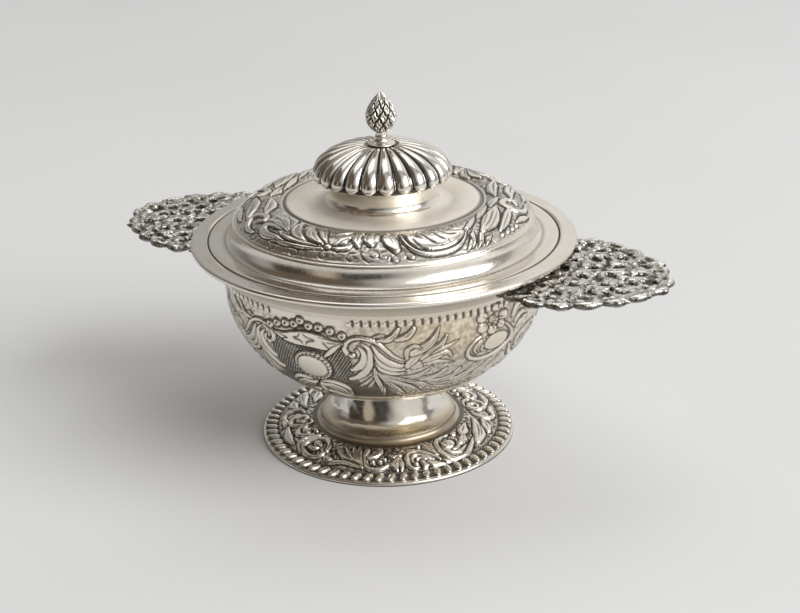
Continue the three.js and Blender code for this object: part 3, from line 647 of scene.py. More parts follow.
COVER_TENDRILS = [
    [(-8.6, 6.6), (-7.4, 3.8), (-4, 1.6)],
    [(2.6, 5), (3.4, 2.6), (6, 1.8)],
    [(8.4, 6.4), (8.8, 4), (11.4, 2.4)],
]
CURL = [(1.9, 1.6), (-0.6, 1.5), (-2, -0.2), (-0.3, -1.4), (1.5, -0.3), (0.3, 0.4)]
COVER_CURLS = [
    (-11.6, 3.9, 1), (-3.4, 5.2, -1), (0.4, 4.6, 1), (4.6, 3, 1), (10, 4, -1), (-58.4, 3.4, 1),
     (-45.8, 3.2, 1), (-35, 3.3, -1), (-22.6, 4, 1),
]
COVER_VEINS = [
    [(-46, 8.2), (-50, 9.2), (-54, 9)],
    [(-47.6, 7.6), (-50.6, 7.9), (-53, 7.4)],
    [(-46.6, 11.2), (-51, 12.2), (-56, 12.8)],
    [(-46, 12.2), (-50, 14), (-56, 15.6)],
    [(-45.8, 13.6), (-48.4, 16), (-52.4, 17.8)],
    [(-35, 9.4), (-39.6, 11.4), (-42.4, 15)],
    [(-34.6, 8.8), (-40.6, 11.2), (-43.6, 15.4)],
    [(-37, 10.8), (-39.8, 13), (-41.4, 16)],
    [(-26.4, 9), (-30.4, 11.2), (-33.4, 13.6)],
    [(-27.6, 8.6), (-32, 10.6), (-35.4, 13.6)],
    [(-26.2, 10.4), (-29.4, 12.6), (-31.6, 15.4)],
    [(-24.4, 10.8), (-26.6, 13.6), (-28.2, 17)],
    [(-10.4, 10), (-10.8, 13), (-10.4, 16)],
    [(-6.4, 10.4), (-6.8, 13), (-6.2, 16)],
    [(-3.6, 10.4), (-3.4, 13), (-3.8, 16)],
    [(4.6, 9), (3.4, 12), (2.4, 15)],
    [(6, 9.4), (4.8, 12), (3.4, 15)],
    [(36, 9.4), (30, 6.6), (24, 5.4), (18, 5.6)],
    [(34, 9.4), (29, 7.6), (24, 6.6)],
    [(46, 7.6), (52, 9.2), (58, 11), (65, 13)],
    [(47, 9.4), (53, 11), (59, 13), (66, 14.8)],
    [(48, 10.8), (53, 12.8), (58, 14.6)],
    [(55, 6.2), (61, 8), (68, 9.6)],
    [(-72, 14), (-78, 15.8), (-86, 16.8)],
    [(-75, 7.8), (-81, 9.8), (-88, 10.8)],
    [(72, 17.4), (78, 17.6)],
]

def cover_side(band):
    """Leaves to the left of three buds, a ribbed shell and leaves to the right of them."""
    moved = 0.7  # the drawing starts this much outside the band
    band.s = band.s + moved
    for lobe in COVER_LEAVES:
        band.form([lobe], rise=0.85, crown=0.3, cut=0.36, groove=0.27, trough=0.25)
    for lobe in COVER_SHELL + COVER_BUDS:
        band.form([lobe], rise=1.0, crown=0.4, cut=0.38)
    for groove in COVER_GROOVES:
        band.line(groove, width=0.42, depth=0.5, dark=1)
        a, s = groove[-1]
        band.line([(a + 0.9, s - 0.5), (a + 1.1, s - 0.5)], width=0.5, depth=0.4, dark=1)
    band.boss((-21.9, 7.4), (1.3, 1.1), 0.8)
    for a, s, way in COVER_CURLS:
        band.line([(a + x * way, s + y) for x, y in CURL], width=0.24, depth=0.3, dark=1)
    for path in COVER_TENDRILS:
        band.line(path, width=0.28, depth=0.3, dark=1)
    for a in (52, 55.8, 59.6, 63.4):
        band.boss((a, 4), (0.8, 0.8), 0.6)
    for vein in COVER_VEINS:
        band.line(vein, width=0.24, depth=0.26)
    band.s = band.s - moved


# Ornament of the foot, drawn for the side that the photograph shows, and repeated behind

FOOT_FORMS = [
    [([0.5, 0.8, 0.75, 0.3], [(15.6, 7.3), (13.4, 6.7), (11.1, 8), (10.5, 10.8), (12.2, 13.6), (16, 15),
     (20.2, 14.2), (24.2, 12), (27.4, 9.8), (29.4, 7.8)]),
     ([0.3, 0.6, 0.6, 0.2], [(15.4, 9.2), (13.4, 9.8), (13.6, 12), (16.6, 13), (20.2, 12), (23.6, 10),
      (26.6, 8)]),
     ([0.3, 0.6, 0.5, 0.2], [(15.8, 10.6), (18, 11), (21.4, 9.6), (24.4, 7.6)])],
    [([0.5, 1.1, 0.4], [(18.2, 9.4), (19.6, 7.6), (18.2, 6.2)])],
    [([0.5, 1.2, 1.0, 0.3], [(21.4, 8.6), (24, 7.2), (26.8, 6.2), (30, 6)]), ([0.3, 0.9, 0.3], [(29.6, 8),
     (31.6, 7), (33.4, 5.8)])],
    [([0.5, 1.0, 0.3], [(23.4, 19.6), (25.6, 15.6), (28, 11)]), ([0.4, 0.9, 0.3], [(27.4, 20), (28.4, 15.6),
     (29.2, 11)])],
    [([0.4, 0.9, 1.0, 0.9, 0.3], [(48, 18.8), (42, 19.2), (36, 17.8), (32, 14.2), (32.2, 10), (35.4, 7),
     (40.4, 6.4), (46, 7.2), (51, 8.8), (56, 10.4), (60.6, 11)])],
    [([0.3, 0.7, 0.7, 0.3], [(37.6, 17), (35.2, 14.6), (35.2, 11.6), (38, 9.6), (43, 9), (48.4, 10)])],
    [([0.5, 0.8, 0.6], [(45.4, 16.6), (46.6, 13.6), (43.6, 11.2), (39.6, 10.8)])],
    [([0.7, 1.4, 0.5], [(47.6, 12.2), (51, 12.8), (55, 14.4)])],
    [([1.0, 1.9, 1.3, 0.4], [(57.4, 8.6), (63.6, 10.2), (70.6, 12.8), (79, 15.8)])],
    [([0.9, 1.6, 0.9, 0.4], [(56, 15.2), (62, 16.6), (70, 17.6)])],
    [([0.9, 1.5, 0.9, 0.4], [(71, 8.2), (75.4, 10.2), (81, 12.4)])],
    [([0.5, 0.8, 0.6, 0.4], [(91, 8), (86, 8.6), (83.4, 11.6), (84.6, 15), (89, 16.4)])],
    [([0.6, 0.9, 0.8, 0.25], [(-13.6, 17), (-14, 13), (-12.8, 9.6), (-10, 7.5), (-5.5, 7), (-1.4, 8.4),
     (1.6, 10.6), (3.2, 12.2)])],
    [([0.6, 0.8, 0.9, 0.3], [(-11.6, 12.4), (-8, 13.6), (-5.5, 15.6), (-4.4, 18.6)])],
    [([0.5, 1.0, 0.4], [(0.8, 13.6), (4, 12.8), (7.8, 13.8)])],
    [([0.5, 1.3, 0.3], [(5.6, 12), (3.4, 9.4), (4.6, 6.2)]), ([0.4, 0.8, 0.3], [(6.6, 12), (7.2, 9),
     (6.6, 6.2)])],
    [([0.3, 0.8, 0.7, 0.3], [(-24.6, 18.4), (-21.4, 15), (-17.8, 11.5), (-14.6, 8.8)]),
     ([0.3, 0.8, 0.6, 0.3], [(-20, 19), (-18, 14.5), (-15.8, 11), (-14, 8.8)]),
     ([0.3, 0.9, 0.7, 0.3], [(-28.6, 16), (-24, 13.6), (-19.4, 10.8), (-15, 8.6)]),
     ([0.3, 0.9, 0.7, 0.3], [(-31.6, 13.2), (-27, 11.8), (-21.6, 9.8), (-16, 8.2)])],
    [([0.9, 0.6, 0.6, 0.3], [(-35, 7), (-31, 7.4), (-27, 8.4), (-23, 8.8), (-18, 8.2), (-13.6, 7.6)])],
    [([0.5, 0.85, 0.85, 0.5], [(-38, 11.5), (-40.4, 15), (-46, 16.9), (-51.6, 15.4), (-55, 11.6),
     (-53.2, 8.2), (-47, 6.9), (-41.4, 7.5), (-38.8, 9.6), (-41, 11.4)])],
    [([0.3, 0.7, 0.3], [(-44.4, 13.4), (-46.4, 10.6), (-51, 10.2)])],
    [([0.4, 0.7, 0.4], [(-55, 17.4), (-58.6, 12.6), (-57, 8.6), (-51.6, 6.2)])],
    [([0.5, 0.85, 0.6, 0.4], [(-58.4, 15.8), (-62, 12.7), (-66.5, 11.3), (-70.6, 13), (-72.8, 16.6),
     (-76.4, 18.6), (-82, 18.4)])],
    [([0.5, 0.85, 0.5], [(-74, 14.4), (-77, 11.4), (-82, 10.6), (-86.4, 13), (-86, 16.6), (-81.4, 17),
     (-79.4, 14.8), (-81.6, 13.4)])],
    [([0.6, 1.3, 0.5], [(-77, 9.2), (-69, 7.6), (-61, 7.4)])],
    [([0.5, 1.1, 0.4], [(-91, 7.4), (-86, 8.4), (-80.4, 8)])],
]
FOOT_BOSSES = [
    (14.7, 8.5, 1.1, 1.1), (39.8, 14, 3.0, 2.4), (-8.6, 10.2, 1.1, 1.0), (-4.6, 10.6, 1.0, 0.9),
     (-2, 11.6, 0.8, 0.8), (-34, 8.4, 2.0, 1.7), (-47.6, 13.2, 2.0, 1.6), (-66, 14.8, 2.2, 1.8),
     (-62, 17.8, 1.2, 1.0), (51, 17.4, 1.6, 1.2), (20.6, 17.4, 1.0, 1.0),
]
FOOT_VEINS = [
    [(60, 9.6), (66, 11.4), (73, 14)],
    [(62, 8.8), (68, 10.8), (74, 13)],
    [(58, 16), (64, 17)],
    [(73, 9), (78, 11.2)],
    [(33.6, 13.6), (33.8, 10.4), (36.6, 7.8), (41, 7.2), (46.4, 8)],
    [(11.6, 10.8), (13, 13), (16.2, 14.2), (20, 13.4)],
    [(-53.4, 11.6), (-50.6, 14.6), (-46, 16)],
    [(-12.6, 12.8), (-12, 9.8), (-9.8, 8.1), (-5.8, 7.7)],
]

def foot_side(band):
    """Scrolls, leaves and small flowers, all bolder than they are drawn."""
    bold, broad = 1.45, 1.7
    for group in FOOT_FORMS:
        group = [([bold * width for width in widths], path) for widths, path in group]
        band.form(group, rise=0.8, cut=0.4, groove=0.26, trough=0.1)
        for widths, path in group:
            if max(widths) >= broad:
                band.line(path[1:-1] if len(path) > 3 else path, width=0.16, depth=0.2, dark=0.5)
    for a, s, w, h in FOOT_BOSSES:
        band.boss((a, s), (w, h), 1.0, cut=0.35)
    for vein in FOOT_VEINS:
        band.line(vein, width=0.24, depth=0.25)


# Finishes


def given(tree, socket, value):
    """Sets a socket to a number or a colour, or links it to another socket."""
    if isinstance(value, tuple):
        socket.default_value = (*value, 1.0)
    elif isinstance(value, (int, float)):
        socket.default_value = value
    else:
        tree.links.new(value, socket)


def noise(tree, scale, detail, vector, roughness=0.55):
    """Cloudy noise from 0 to 1, with about scale clouds to the metre."""
    node = tree.nodes.new("ShaderNodeTexNoise")
    for key, value in (("Scale", scale), ("Detail", detail), ("Roughness", roughness), ("Vector", vector)):
        given(tree, node.inputs[key], value)
    return node.outputs["Fac"]


def ranged(tree, value, low, high, to_low=0.0, to_high=1.0):
    """A value moved from one range to another, and kept in it."""
    node = tree.nodes.new("ShaderNodeMapRange")
    limits = ("From Min", low), ("From Max", high), ("To Min", to_low), ("To Max", to_high)
    for key, number in (*limits, ("Value", value)):
        given(tree, node.inputs[key], number)
    return node.outputs["Result"]


def maths(tree, way, a, b=0.0):
    """The result of one sum with two values."""
    node = tree.nodes.new("ShaderNodeMath")
    node.operation = way
    given(tree, node.inputs[0], a)
    given(tree, node.inputs[1], b)
    return node.outputs[0]


def times(tree, a, b):
    return maths(tree, "MULTIPLY", a, b)


def plus(tree, a, b):
    return maths(tree, "ADD", a, b)


def mixed(tree, share, a, b):
    """A colour between two others, with a share of the second."""
    node = tree.nodes.new("ShaderNodeMix")
    node.data_type = "RGBA"
    for key, value in (("Factor", share), ("A", a), ("B", b)):
        given(tree, node.inputs[key], value)
    return node.outputs["Result"]


def bumped(tree, height, strength, depth, skin=None):
    """A bump of some metres' depth, over another bump's normals where it is given them."""
    node = tree.nodes.new("ShaderNodeBump")
    for key, value in (("Strength", strength), ("Distance", depth), ("Height", height)):
        given(tree, node.inputs[key], value)
    if skin is not None:
        tree.links.new(skin, node.inputs["Normal"])
    return node.outputs["Normal"]


def mark(tree, name):
    """A mark that the points of a piece carry."""
    node = tree.nodes.new("ShaderNodeAttribute")
    node.attribute_name = name
    return node.outputs["Fac"]


def principled(name):
    """A new material with its nodes, its shader and the place on the piece."""
    material = bpy.data.materials.new(name)
    material.use_nodes = True
    tree = material.node_tree
    place = tree.nodes.new("ShaderNodeTexCoord").outputs["Object"]
    return material, tree, tree.nodes["Principled BSDF"], place


INPUTS = {
    "Place": "Vector", "Dirt_and_shade": "Float", "Silver": "Color", "Worn": "Color", "Bright": "Color",
    "Tarnish": "Color", "Tarnished": "Float", "Smooth": "Float", "Rough": "Float",
}
OUTPUTS = {"Color": "Color", "Roughness": "Float", "Dents": "Float", "Scratches": "Float"}
# the first colour is the dark of dirt in the hollows, and of painted shade where a piece marks it so
DIRT_AND_SHADE, TARNISH = (0.03, 0.026, 0.021), (0.62, 0.5, 0.3)


def wear_group():
    """Old silver's tone and gloss: cloudy tarnish, fine grain, dirt in the hollows and bright crests.
    The dirt and the stain also carry painted shade where a piece marks it so.
    It also gives the heights of faint dents and of scratches."""
    tree = bpy.data.node_groups.new("silver_wear", "ShaderNodeTree")
    for way, sockets in (("INPUT", INPUTS), ("OUTPUT", OUTPUTS)):
        for key, kind in sockets.items():
            tree.interface.new_socket(key, in_out=way, socket_type="NodeSocket" + kind)
    start, end = tree.nodes.new("NodeGroupInput"), tree.nodes.new("NodeGroupOutput")
    entered = list(start.outputs)[: len(INPUTS)]
    place, dirt_and_shade, silver_tone, worn, bright, tarnish, tarnished, smooth, rough = entered
    hollow, crest, stain_and_shade = (mark(tree, key) for key in ("hollow", "crest", "stain_and_shade"))
    broad, small = noise(tree, 38, 5, place), noise(tree, 170, 4, place)
    cloud = times(tree, ranged(tree, broad, 0.42, 0.66), ranged(tree, small, 0.3, 0.6, 0.35, 1))
    # the stain mark pulls the tone towards tarnish: real stains, and painted shade where a piece marks it so
    cloud = maths(tree, "MINIMUM", plus(tree, times(tree, cloud, tarnished), stain_and_shade), 0.85)
    grain = noise(tree, 900, 3, place)
    tone = mixed(tree, cloud, silver_tone, tarnish)
    tone = mixed(tree, times(tree, grain, 0.12), tone, worn)
    tone = mixed(tree, times(tree, dirt_and_shade, 0.94), tone, DIRT_AND_SHADE)
    tone = mixed(tree, times(tree, crest, 0.6), tone, bright)
    gloss = plus(tree, ranged(tree, grain, 0.3, 0.7, smooth, rough), times(tree, cloud, 0.14))
    gloss = plus(tree, gloss, times(tree, hollow, 0.22))
    gloss = maths(tree, "SUBTRACT", gloss, times(tree, crest, 0.05))
    streaks = []
    for turn, scale in ((0.4, (30, 900, 260)), (1.9, (900, 34, 300)), (2.6, (260, 700, 30))):
        mapping = tree.nodes.new("ShaderNodeMapping")
        mapping.inputs["Rotation"].default_value = (turn, 0.3 * turn, turn)
        mapping.inputs["Scale"].default_value = scale
        tree.links.new(place, mapping.inputs["Vector"])
        streaks.append(ranged(tree, noise(tree, 1.0, 2, mapping.outputs["Vector"]), 0.6, 0.72))
    scratches = maths(tree, "MAXIMUM", maths(tree, "MAXIMUM", *streaks[:2]), streaks[2])
    dents = noise(tree, 75, 2, place, 0.4)
    for socket, value in zip(end.inputs, (tone, gloss, dents, maths(tree, "SUBTRACT", grain, scratches))):
        tree.links.new(value, socket)
    return tree


WEAR = wear_group()


def hatching(tree):
    """Two crossing sets of engraved lines, where the piece is marked for them."""
    apart = 1.05  # millimetres from line to line
    lines = []
    for lean in (-32, 38):
        c, s = math.cos(math.radians(lean)), math.sin(math.radians(lean))
        way = plus(tree, times(tree, mark(tree, "across"), c), times(tree, mark(tree, "along"), s))
        wave = maths(tree, "COSINE", times(tree, way, 2 * math.pi / apart))
        lines.append(ranged(tree, wave, -0.25, 0.35))
    both = maths(tree, "MAXIMUM", *lines)
    return times(tree, mark(tree, "hatch"), plus(tree, times(tree, both, 0.7), 0.3))


def silver(
    name, color, roughness, tarnish=TARNISH, tarnished=0.3, dented=0.05, cast=0.0, grain=520, pits=0.0,
    hatched=False, matted=False,
):
    """Silver with its wear. A casting has a skin of grains, and dirt in its pits."""
    material, tree, shader, place = principled(name)
    dirt_and_shade = mark(tree, "hollow")
    if hatched:
        dirt_and_shade = maths(tree, "MAXIMUM", dirt_and_shade, hatching(tree))
    if pits:
        pit = times(tree, ranged(tree, noise(tree, 0.9 * grain, 2, place, 0.5), 0.5, 0.64), pits)
        dirt_and_shade = maths(tree, "MINIMUM", plus(tree, dirt_and_shade, pit), 1.0)
    wear = tree.nodes.new("ShaderNodeGroup")
    wear.node_tree = WEAR
    worn, bright = tuple(c * 0.72 for c in color), tuple(min(1, c * 1.12) for c in color)
    values = (place, dirt_and_shade, color, worn, bright, tarnish, tarnished, roughness - 0.05, roughness + 0.06)
    for key, value in zip(INPUTS, values):
        given(tree, wear.inputs[key], value)
    tone, gloss, dents, scratches = wear.outputs
    tree.links.new(tone, shader.inputs["Base Color"])
    shader.inputs["Metallic"].default_value = 1.0
    if matted:
        dull = times(tree, mark(tree, "matt"), 0.25)
        tree.links.new(maths(tree, "SUBTRACT", 1.0, dull), shader.inputs["Metallic"])
        gloss = plus(tree, gloss, dull)
    tree.links.new(gloss, shader.inputs["Roughness"])
    skin = bumped(tree, scratches, 0.02, 0.0001, bumped(tree, dents, dented, 0.0012))
    if cast:
        skin = bumped(tree, noise(tree, grain, 2, place, 0.5), cast, 0.0008, skin)
    tree.links.new(skin, shader.inputs["Normal"])
    return material


CHASED = silver("chased silver", (0.88, 0.84, 0.77), 0.18, (0.5, 0.395, 0.26))
COVER = silver("cover silver", (0.88, 0.84, 0.77), 0.18, matted=True)
BOWL = silver("bowl silver", (0.83, 0.785, 0.705), 0.19, (0.94, 0.79, 0.57), hatched=True)
PLAIN = silver("plain silver", (0.89, 0.855, 0.79), 0.15, tarnished=0.25)
WAIST = silver("waist silver", (0.86, 0.83, 0.78), 0.12, tarnished=0.45, dented=0.25)
CAST = silver("cast silver", (0.8, 0.77, 0.71), 0.2, cast=0.35)
EARS = silver(
    "rough cast silver", (0.98, 0.945, 0.885), 0.13, tarnished=0.15, cast=0.62, grain=480, pits=0.4
)
DOME = silver("dome silver", (0.8, 0.77, 0.72), 0.15, tarnished=0.5)
STEEL = silver("turned fixing", (0.55, 0.54, 0.52), 0.32)

# The pieces: material, the body that each rides on, the node that it stands for, and its slot
PIECES = {
    "chased_foot": (CHASED, "bowl_body", "foot", "chased_silver"),
    "lobed_border": (CHASED, "bowl_body", "foot_border", "chased_silver"),
    "waist_collet": (WAIST, "bowl_body", "foot_waist", "plain_silver"),
    "chased_bowl": (BOWL, "bowl_body", "bowl", "chased_silver"),
    "rim_wire": (PLAIN, "bowl_body", "bowl_rim_wire", "plain_silver"),
    "pierced_ear_right": (EARS, "bowl_body", "handle_right", "cast_silver"),
    "pierced_ear_left": (EARS, "bowl_body", "handle_left", "cast_silver"),
    "chased_cover": (COVER, "cover", "lid", "chased_silver"),
    "bezel_ring": (PLAIN, "cover", "lid_bezel", "plain_silver"),
    "lobed_dome": (DOME, "cover", "lid_dome", "plain_silver"),
    "finial_skirt": (PLAIN, "cover", "finial_collar", "plain_silver"),
    "pine_cone": (CAST, "cover", "finial", "cast_silver"),
}

# Sizes that the pieces take from the CAD model, in millimetres


def low(node):
    """The height of a node's lowest point."""
    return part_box(node)[0][2] / MM


def high(node):
    """The height of a node's highest point."""
    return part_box(node)[1][2] / MM


def reach(node):
    """How far a node reaches along +X."""
    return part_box(node)[1][0] / MM


GAP = 0.3  # the seat of the cover on the rim
BOWL_Z, RIM_Z = low("bowl"), high("bowl")
COVER_Z = RIM_Z + GAP
DOME_Z, DOME_TOP = low("lid_dome"), high("lid_dome")

# Foot, with its border and waist


def foot():
    """A domed band with a chased border of scrolls, up to a narrow ledge, and its hollow underside."""
    edge, band_top, shoulder, gauge = (42.0, 2.3), (28.6, 5.4), (25.3, 8.0), 1.0
    band = swelled(edge, band_top, 1.1, 40)
    cove = bend(band_top, (25.3, 5.4), shoulder, 12)
    under = offset(resampled(join(band, cove), 1.2), gauge)[::-1]
    ledge = [shoulder, (23.6, 8.0)]
    profile, starts = rows_of((band, 0.3), (cove, 0.4), (ledge, 0.6), (under, 1.6), ([under[-1], edge], 0.6))
    columns, s_edge = 900, 5.7  # the drawing's distances s start at the border's outer edge
    last, behind = starts[1], starts[3]
    s = s_edge + lengths(profile[:last])
    chased = Band(profile[:last, 0], s, columns)
    chased.ground(s_edge, 20.6, depth=0.04, dark=0.72)
    for turn in (CAMERA_TURN, CAMERA_TURN + 180):
        foot_side(chased.facing(turn))
    ease = soft_ends(s, s_edge, s[-1], 0.8)
    height = np.zeros((len(profile), columns))
    height[:last] = np.maximum(chased.height, -0.5) * ease - 0.15 * ease
    marks = spread(height.shape, 0, chased.marks(), "stain_and_shade")
    hollow, stain_and_shade = marks["hollow"], marks["stain_and_shade"]
    hollow[:last] = np.maximum(hollow[:last], unit(1 - (s - s_edge) / 0.9)[:, None] * 0.9)
    hollow[last - 2 : last + 3] = 0.75
    # the cove and ledge under the waist are tarnished and darkened most on the side toward the camera, fading
    # round to the back
    angle = np.radians(around(columns) - CAMERA_TURN)
    cloudy = 0.08 * np.sin(7 * angle) + 0.05 * np.sin(17 * angle)
    stain_and_shade[last - 2 : behind] = 0.46 + 0.34 * np.cos(angle) + cloudy
    hollow[last + 3 : behind] = 0.16 + 0.16 * np.cos(angle)
    turned("chased_foot", profile, columns, height, marks)


def border():
    """Leaning round lobes inside a plain wire."""
    inner, outer, lobes = 42.2, 48.0, 66
    wire = bend((47.1, 1.3), (47.9, 1.35), (outer, 0.6), 6)
    ring = [(inner, 0.0), (inner, 1.5), (42.6, 1.6), (46.7, 1.5), (47.0, 1.15)]
    top, starts = rows_of((join(ring, wire, [(outer, 0.0)])[::-1], 0.22), ([(inner, 0.0), (outer, 0.0)], 1.5))
    columns, pitch = lobes * 14, 360 / lobes
    radius, z = top[:, :1], top[:, 1:]
    s = outer - radius
    on_top = (np.arange(len(top))[:, None] < starts[1]) & (s > 1.1) & (s < 5.6)
    turn = ((around(columns) - 0.32 * (s - 3)) / pitch + 0.5) % 1 - 0.5
    across = turn * math.radians(pitch) * radius / 1.5
    along = (s - 3.35) / 2.45
    q = (np.abs(across) ** 2 + np.abs(along) ** 3.2) ** 0.5
    lift = unit(1 - q**2.2) ** 0.5 * on_top
    # dark gaps between the lobes, and a painted contact shadow along the low outer rows of the wire
    dark = np.maximum(0.85 * unit((q - 0.72) / 0.24) * on_top, 0.8 * ((radius > 47) & (z < 0.65)))
    marks = {"hollow": dark, "crest": unit(lift - 0.7) * 1.5}
    turned("lobed_border", top, columns, 1.25 * lift, marks)


def waist():
    """A plain trumpet, a little out of true."""
    base, middle = np.array((0, 8.3)), (19.9, 4.0)
    flare = bend((25.0, 0.0), (21.2, 0.5), middle, 24)
    neck = bend(middle, (18.3, 8.4), (16.95, 12.4), 14)
    outer = join([(25.15, 8.05), (25.1, 8.25)], join(flare, neck) + base, [(17.9, 21.05)])
    inner = bend((22.8, 0.0), (16.5, 2.15), (16.5, 12.4), 20)[::-1] + base
    inner = join([(16.5, 20.9)], inner, [(22.8, 8.05)])
    profile, starts = rows_of((outer, 0.5), (inner, 1.2), ([inner[-1], outer[0]], 1.0))
    columns = 200
    row, z = np.arange(len(profile))[:, None], profile[:, 1:]
    angle = np.arange(columns) * 2 * math.pi / columns
    outside = row < starts[1]
    wobble = 0.07 * np.sin(3 * angle + 0.06 * row) + 0.05 * np.sin(7 * angle + 1.3 - 0.16 * row)
    wobble += 0.02 * np.sin(17 * angle + 0.5 * row)
    height = wobble * (outside * unit((starts[1] - row) / 6) * unit(row / 6))
    hollow = (unit((8.7 - z) / 0.5) * 0.35 + unit((z - 20.2) / 0.8) * 0.8) * outside
    marks = {"hollow": hollow, "stain_and_shade": unit((11.6 - z) / 3) * 0.4 * outside}
    turned("waist_collet", profile, columns, height, marks)


# Bowl, with its rim wire


def dish(radius, height, fullness, n):
    """The outline of a round-bottomed dish, from the axis out to its edge."""
    t = np.linspace(0, math.pi / 2, n + 1)
    return np.stack([radius * np.sin(t) ** (2 / fullness), height * (1 - np.cos(t))], 1)


def bowl():
    """A round-bottomed body that flares to its rim, chased all over its side, and its rim's wire."""
    belly = (59.0, 44.5)
    rim = bend(belly, (59.0, 51.35), (63.0, 58.2), 40)
    outside = join(dish(*belly, 2.2, 300), rim) + (0, BOWL_Z)
    along = lengths(outside)
    known_s, known_z = 48, 59.0  # the drawing's distance s where the body is this high
    at_s = along - np.interp(known_z, outside[:, 1], along) + known_s
    cut = lambda s_from, s_to: outside[(at_s >= s_from) & (at_s <= s_to)]
    inside = offset(resampled(outside, 2.5), 1.1)[::-1]
    inside[0], inside[-1, 0] = (62.0, RIM_Z), 0
    profile, starts = rows_of(
        (cut(-99, 16.0), 1.6),
        (cut(15.9, 59.6), 0.33),
        (cut(59.5, at_s[-1]), 0.9),
        (join([outside[-1]], [(62.6, RIM_Z)], [inside[0]]), 0.4),
        (inside, 2.5),
    )
    profile[0, 0] = 0
    _, first, last, _, inner, _ = starts
    s = np.interp(profile[first:last, 1], outside[:, 1], at_s)
    band = Band(profile[first:last, 0], s, DENSE)
    band.ground(17.0, 55.5, depth=0.04, dark=0.3)
    for turn, coronet in ((FRONT, True), (FRONT + 180, False)):
        band.facing(turn).patch(27.0, 16.5, 31.5, 2.5, dark=0.8)
        band.patch(16.6, 27.5, 49.0, 1.2, dark=0.3, hatch=1.0)
        for mirror in (1, -1):
            bowl_half(band.facing(turn, mirror))
        cartouche(band.facing(turn), coronet)
    bead_row(band, 14)
    ease = unit(np.minimum((s - 16.2) / 0.8, (s[-1] - s) / 1.9))[:, None]
    height = np.zeros((len(profile), DENSE))
    height[first:last] = (np.maximum(band.height, -0.45) - 0.35) * (ease**2 * (3 - 2 * ease))
    marks = spread(height.shape, first, band.marks(), "stain_and_shade", "hatch")
    angle = around(DENSE)
    stain_turn, stain_s, stain_size = 46, 50, (34.0, 11.0)  # the warm stain's middle and half size
    side = (angle - stain_turn + 180) % 360 - 180
    warm = np.exp(-((side / stain_size[0]) ** 2)) * np.exp(-(((s[:, None] - stain_s) / stain_size[1]) ** 2))
    marks["stain_and_shade"][first:last] = 0.85 * warm
    marks["hollow"][first:last] *= 1 - 0.15 * warm
    marks["hatch"][first:last] = band.hatch
    # painted shadow of the cover's flange: the upper rim is darkened and tarnished, more towards its top
    marks["hollow"][last:inner] = (0.32 + 0.3 * unit(np.arange(inner - last) / 6))[:, None]
    marks["stain_and_shade"][last:inner] = 0.3
    mean_radius = 60.0
    marks["across"] = np.radians((angle - FRONT + 90) % 180 - 90) * mean_radius
    marks["along"] = np.r_[np.zeros(first), s, np.full(len(profile) - last, s[-1])][:, None]
    turned("chased_bowl", profile, DENSE, height, marks)
    wire = swelled((63.05, 76.03), (63.05, RIM_Z), 1.6, 14)
    turned("rim_wire", wire, 240)


# Cover, with its dome and finial


def on_flange(radius, rise):
    """A place above the top of the cover's flange."""
    return np.array([radius, COVER_Z + 1.0 + rise])


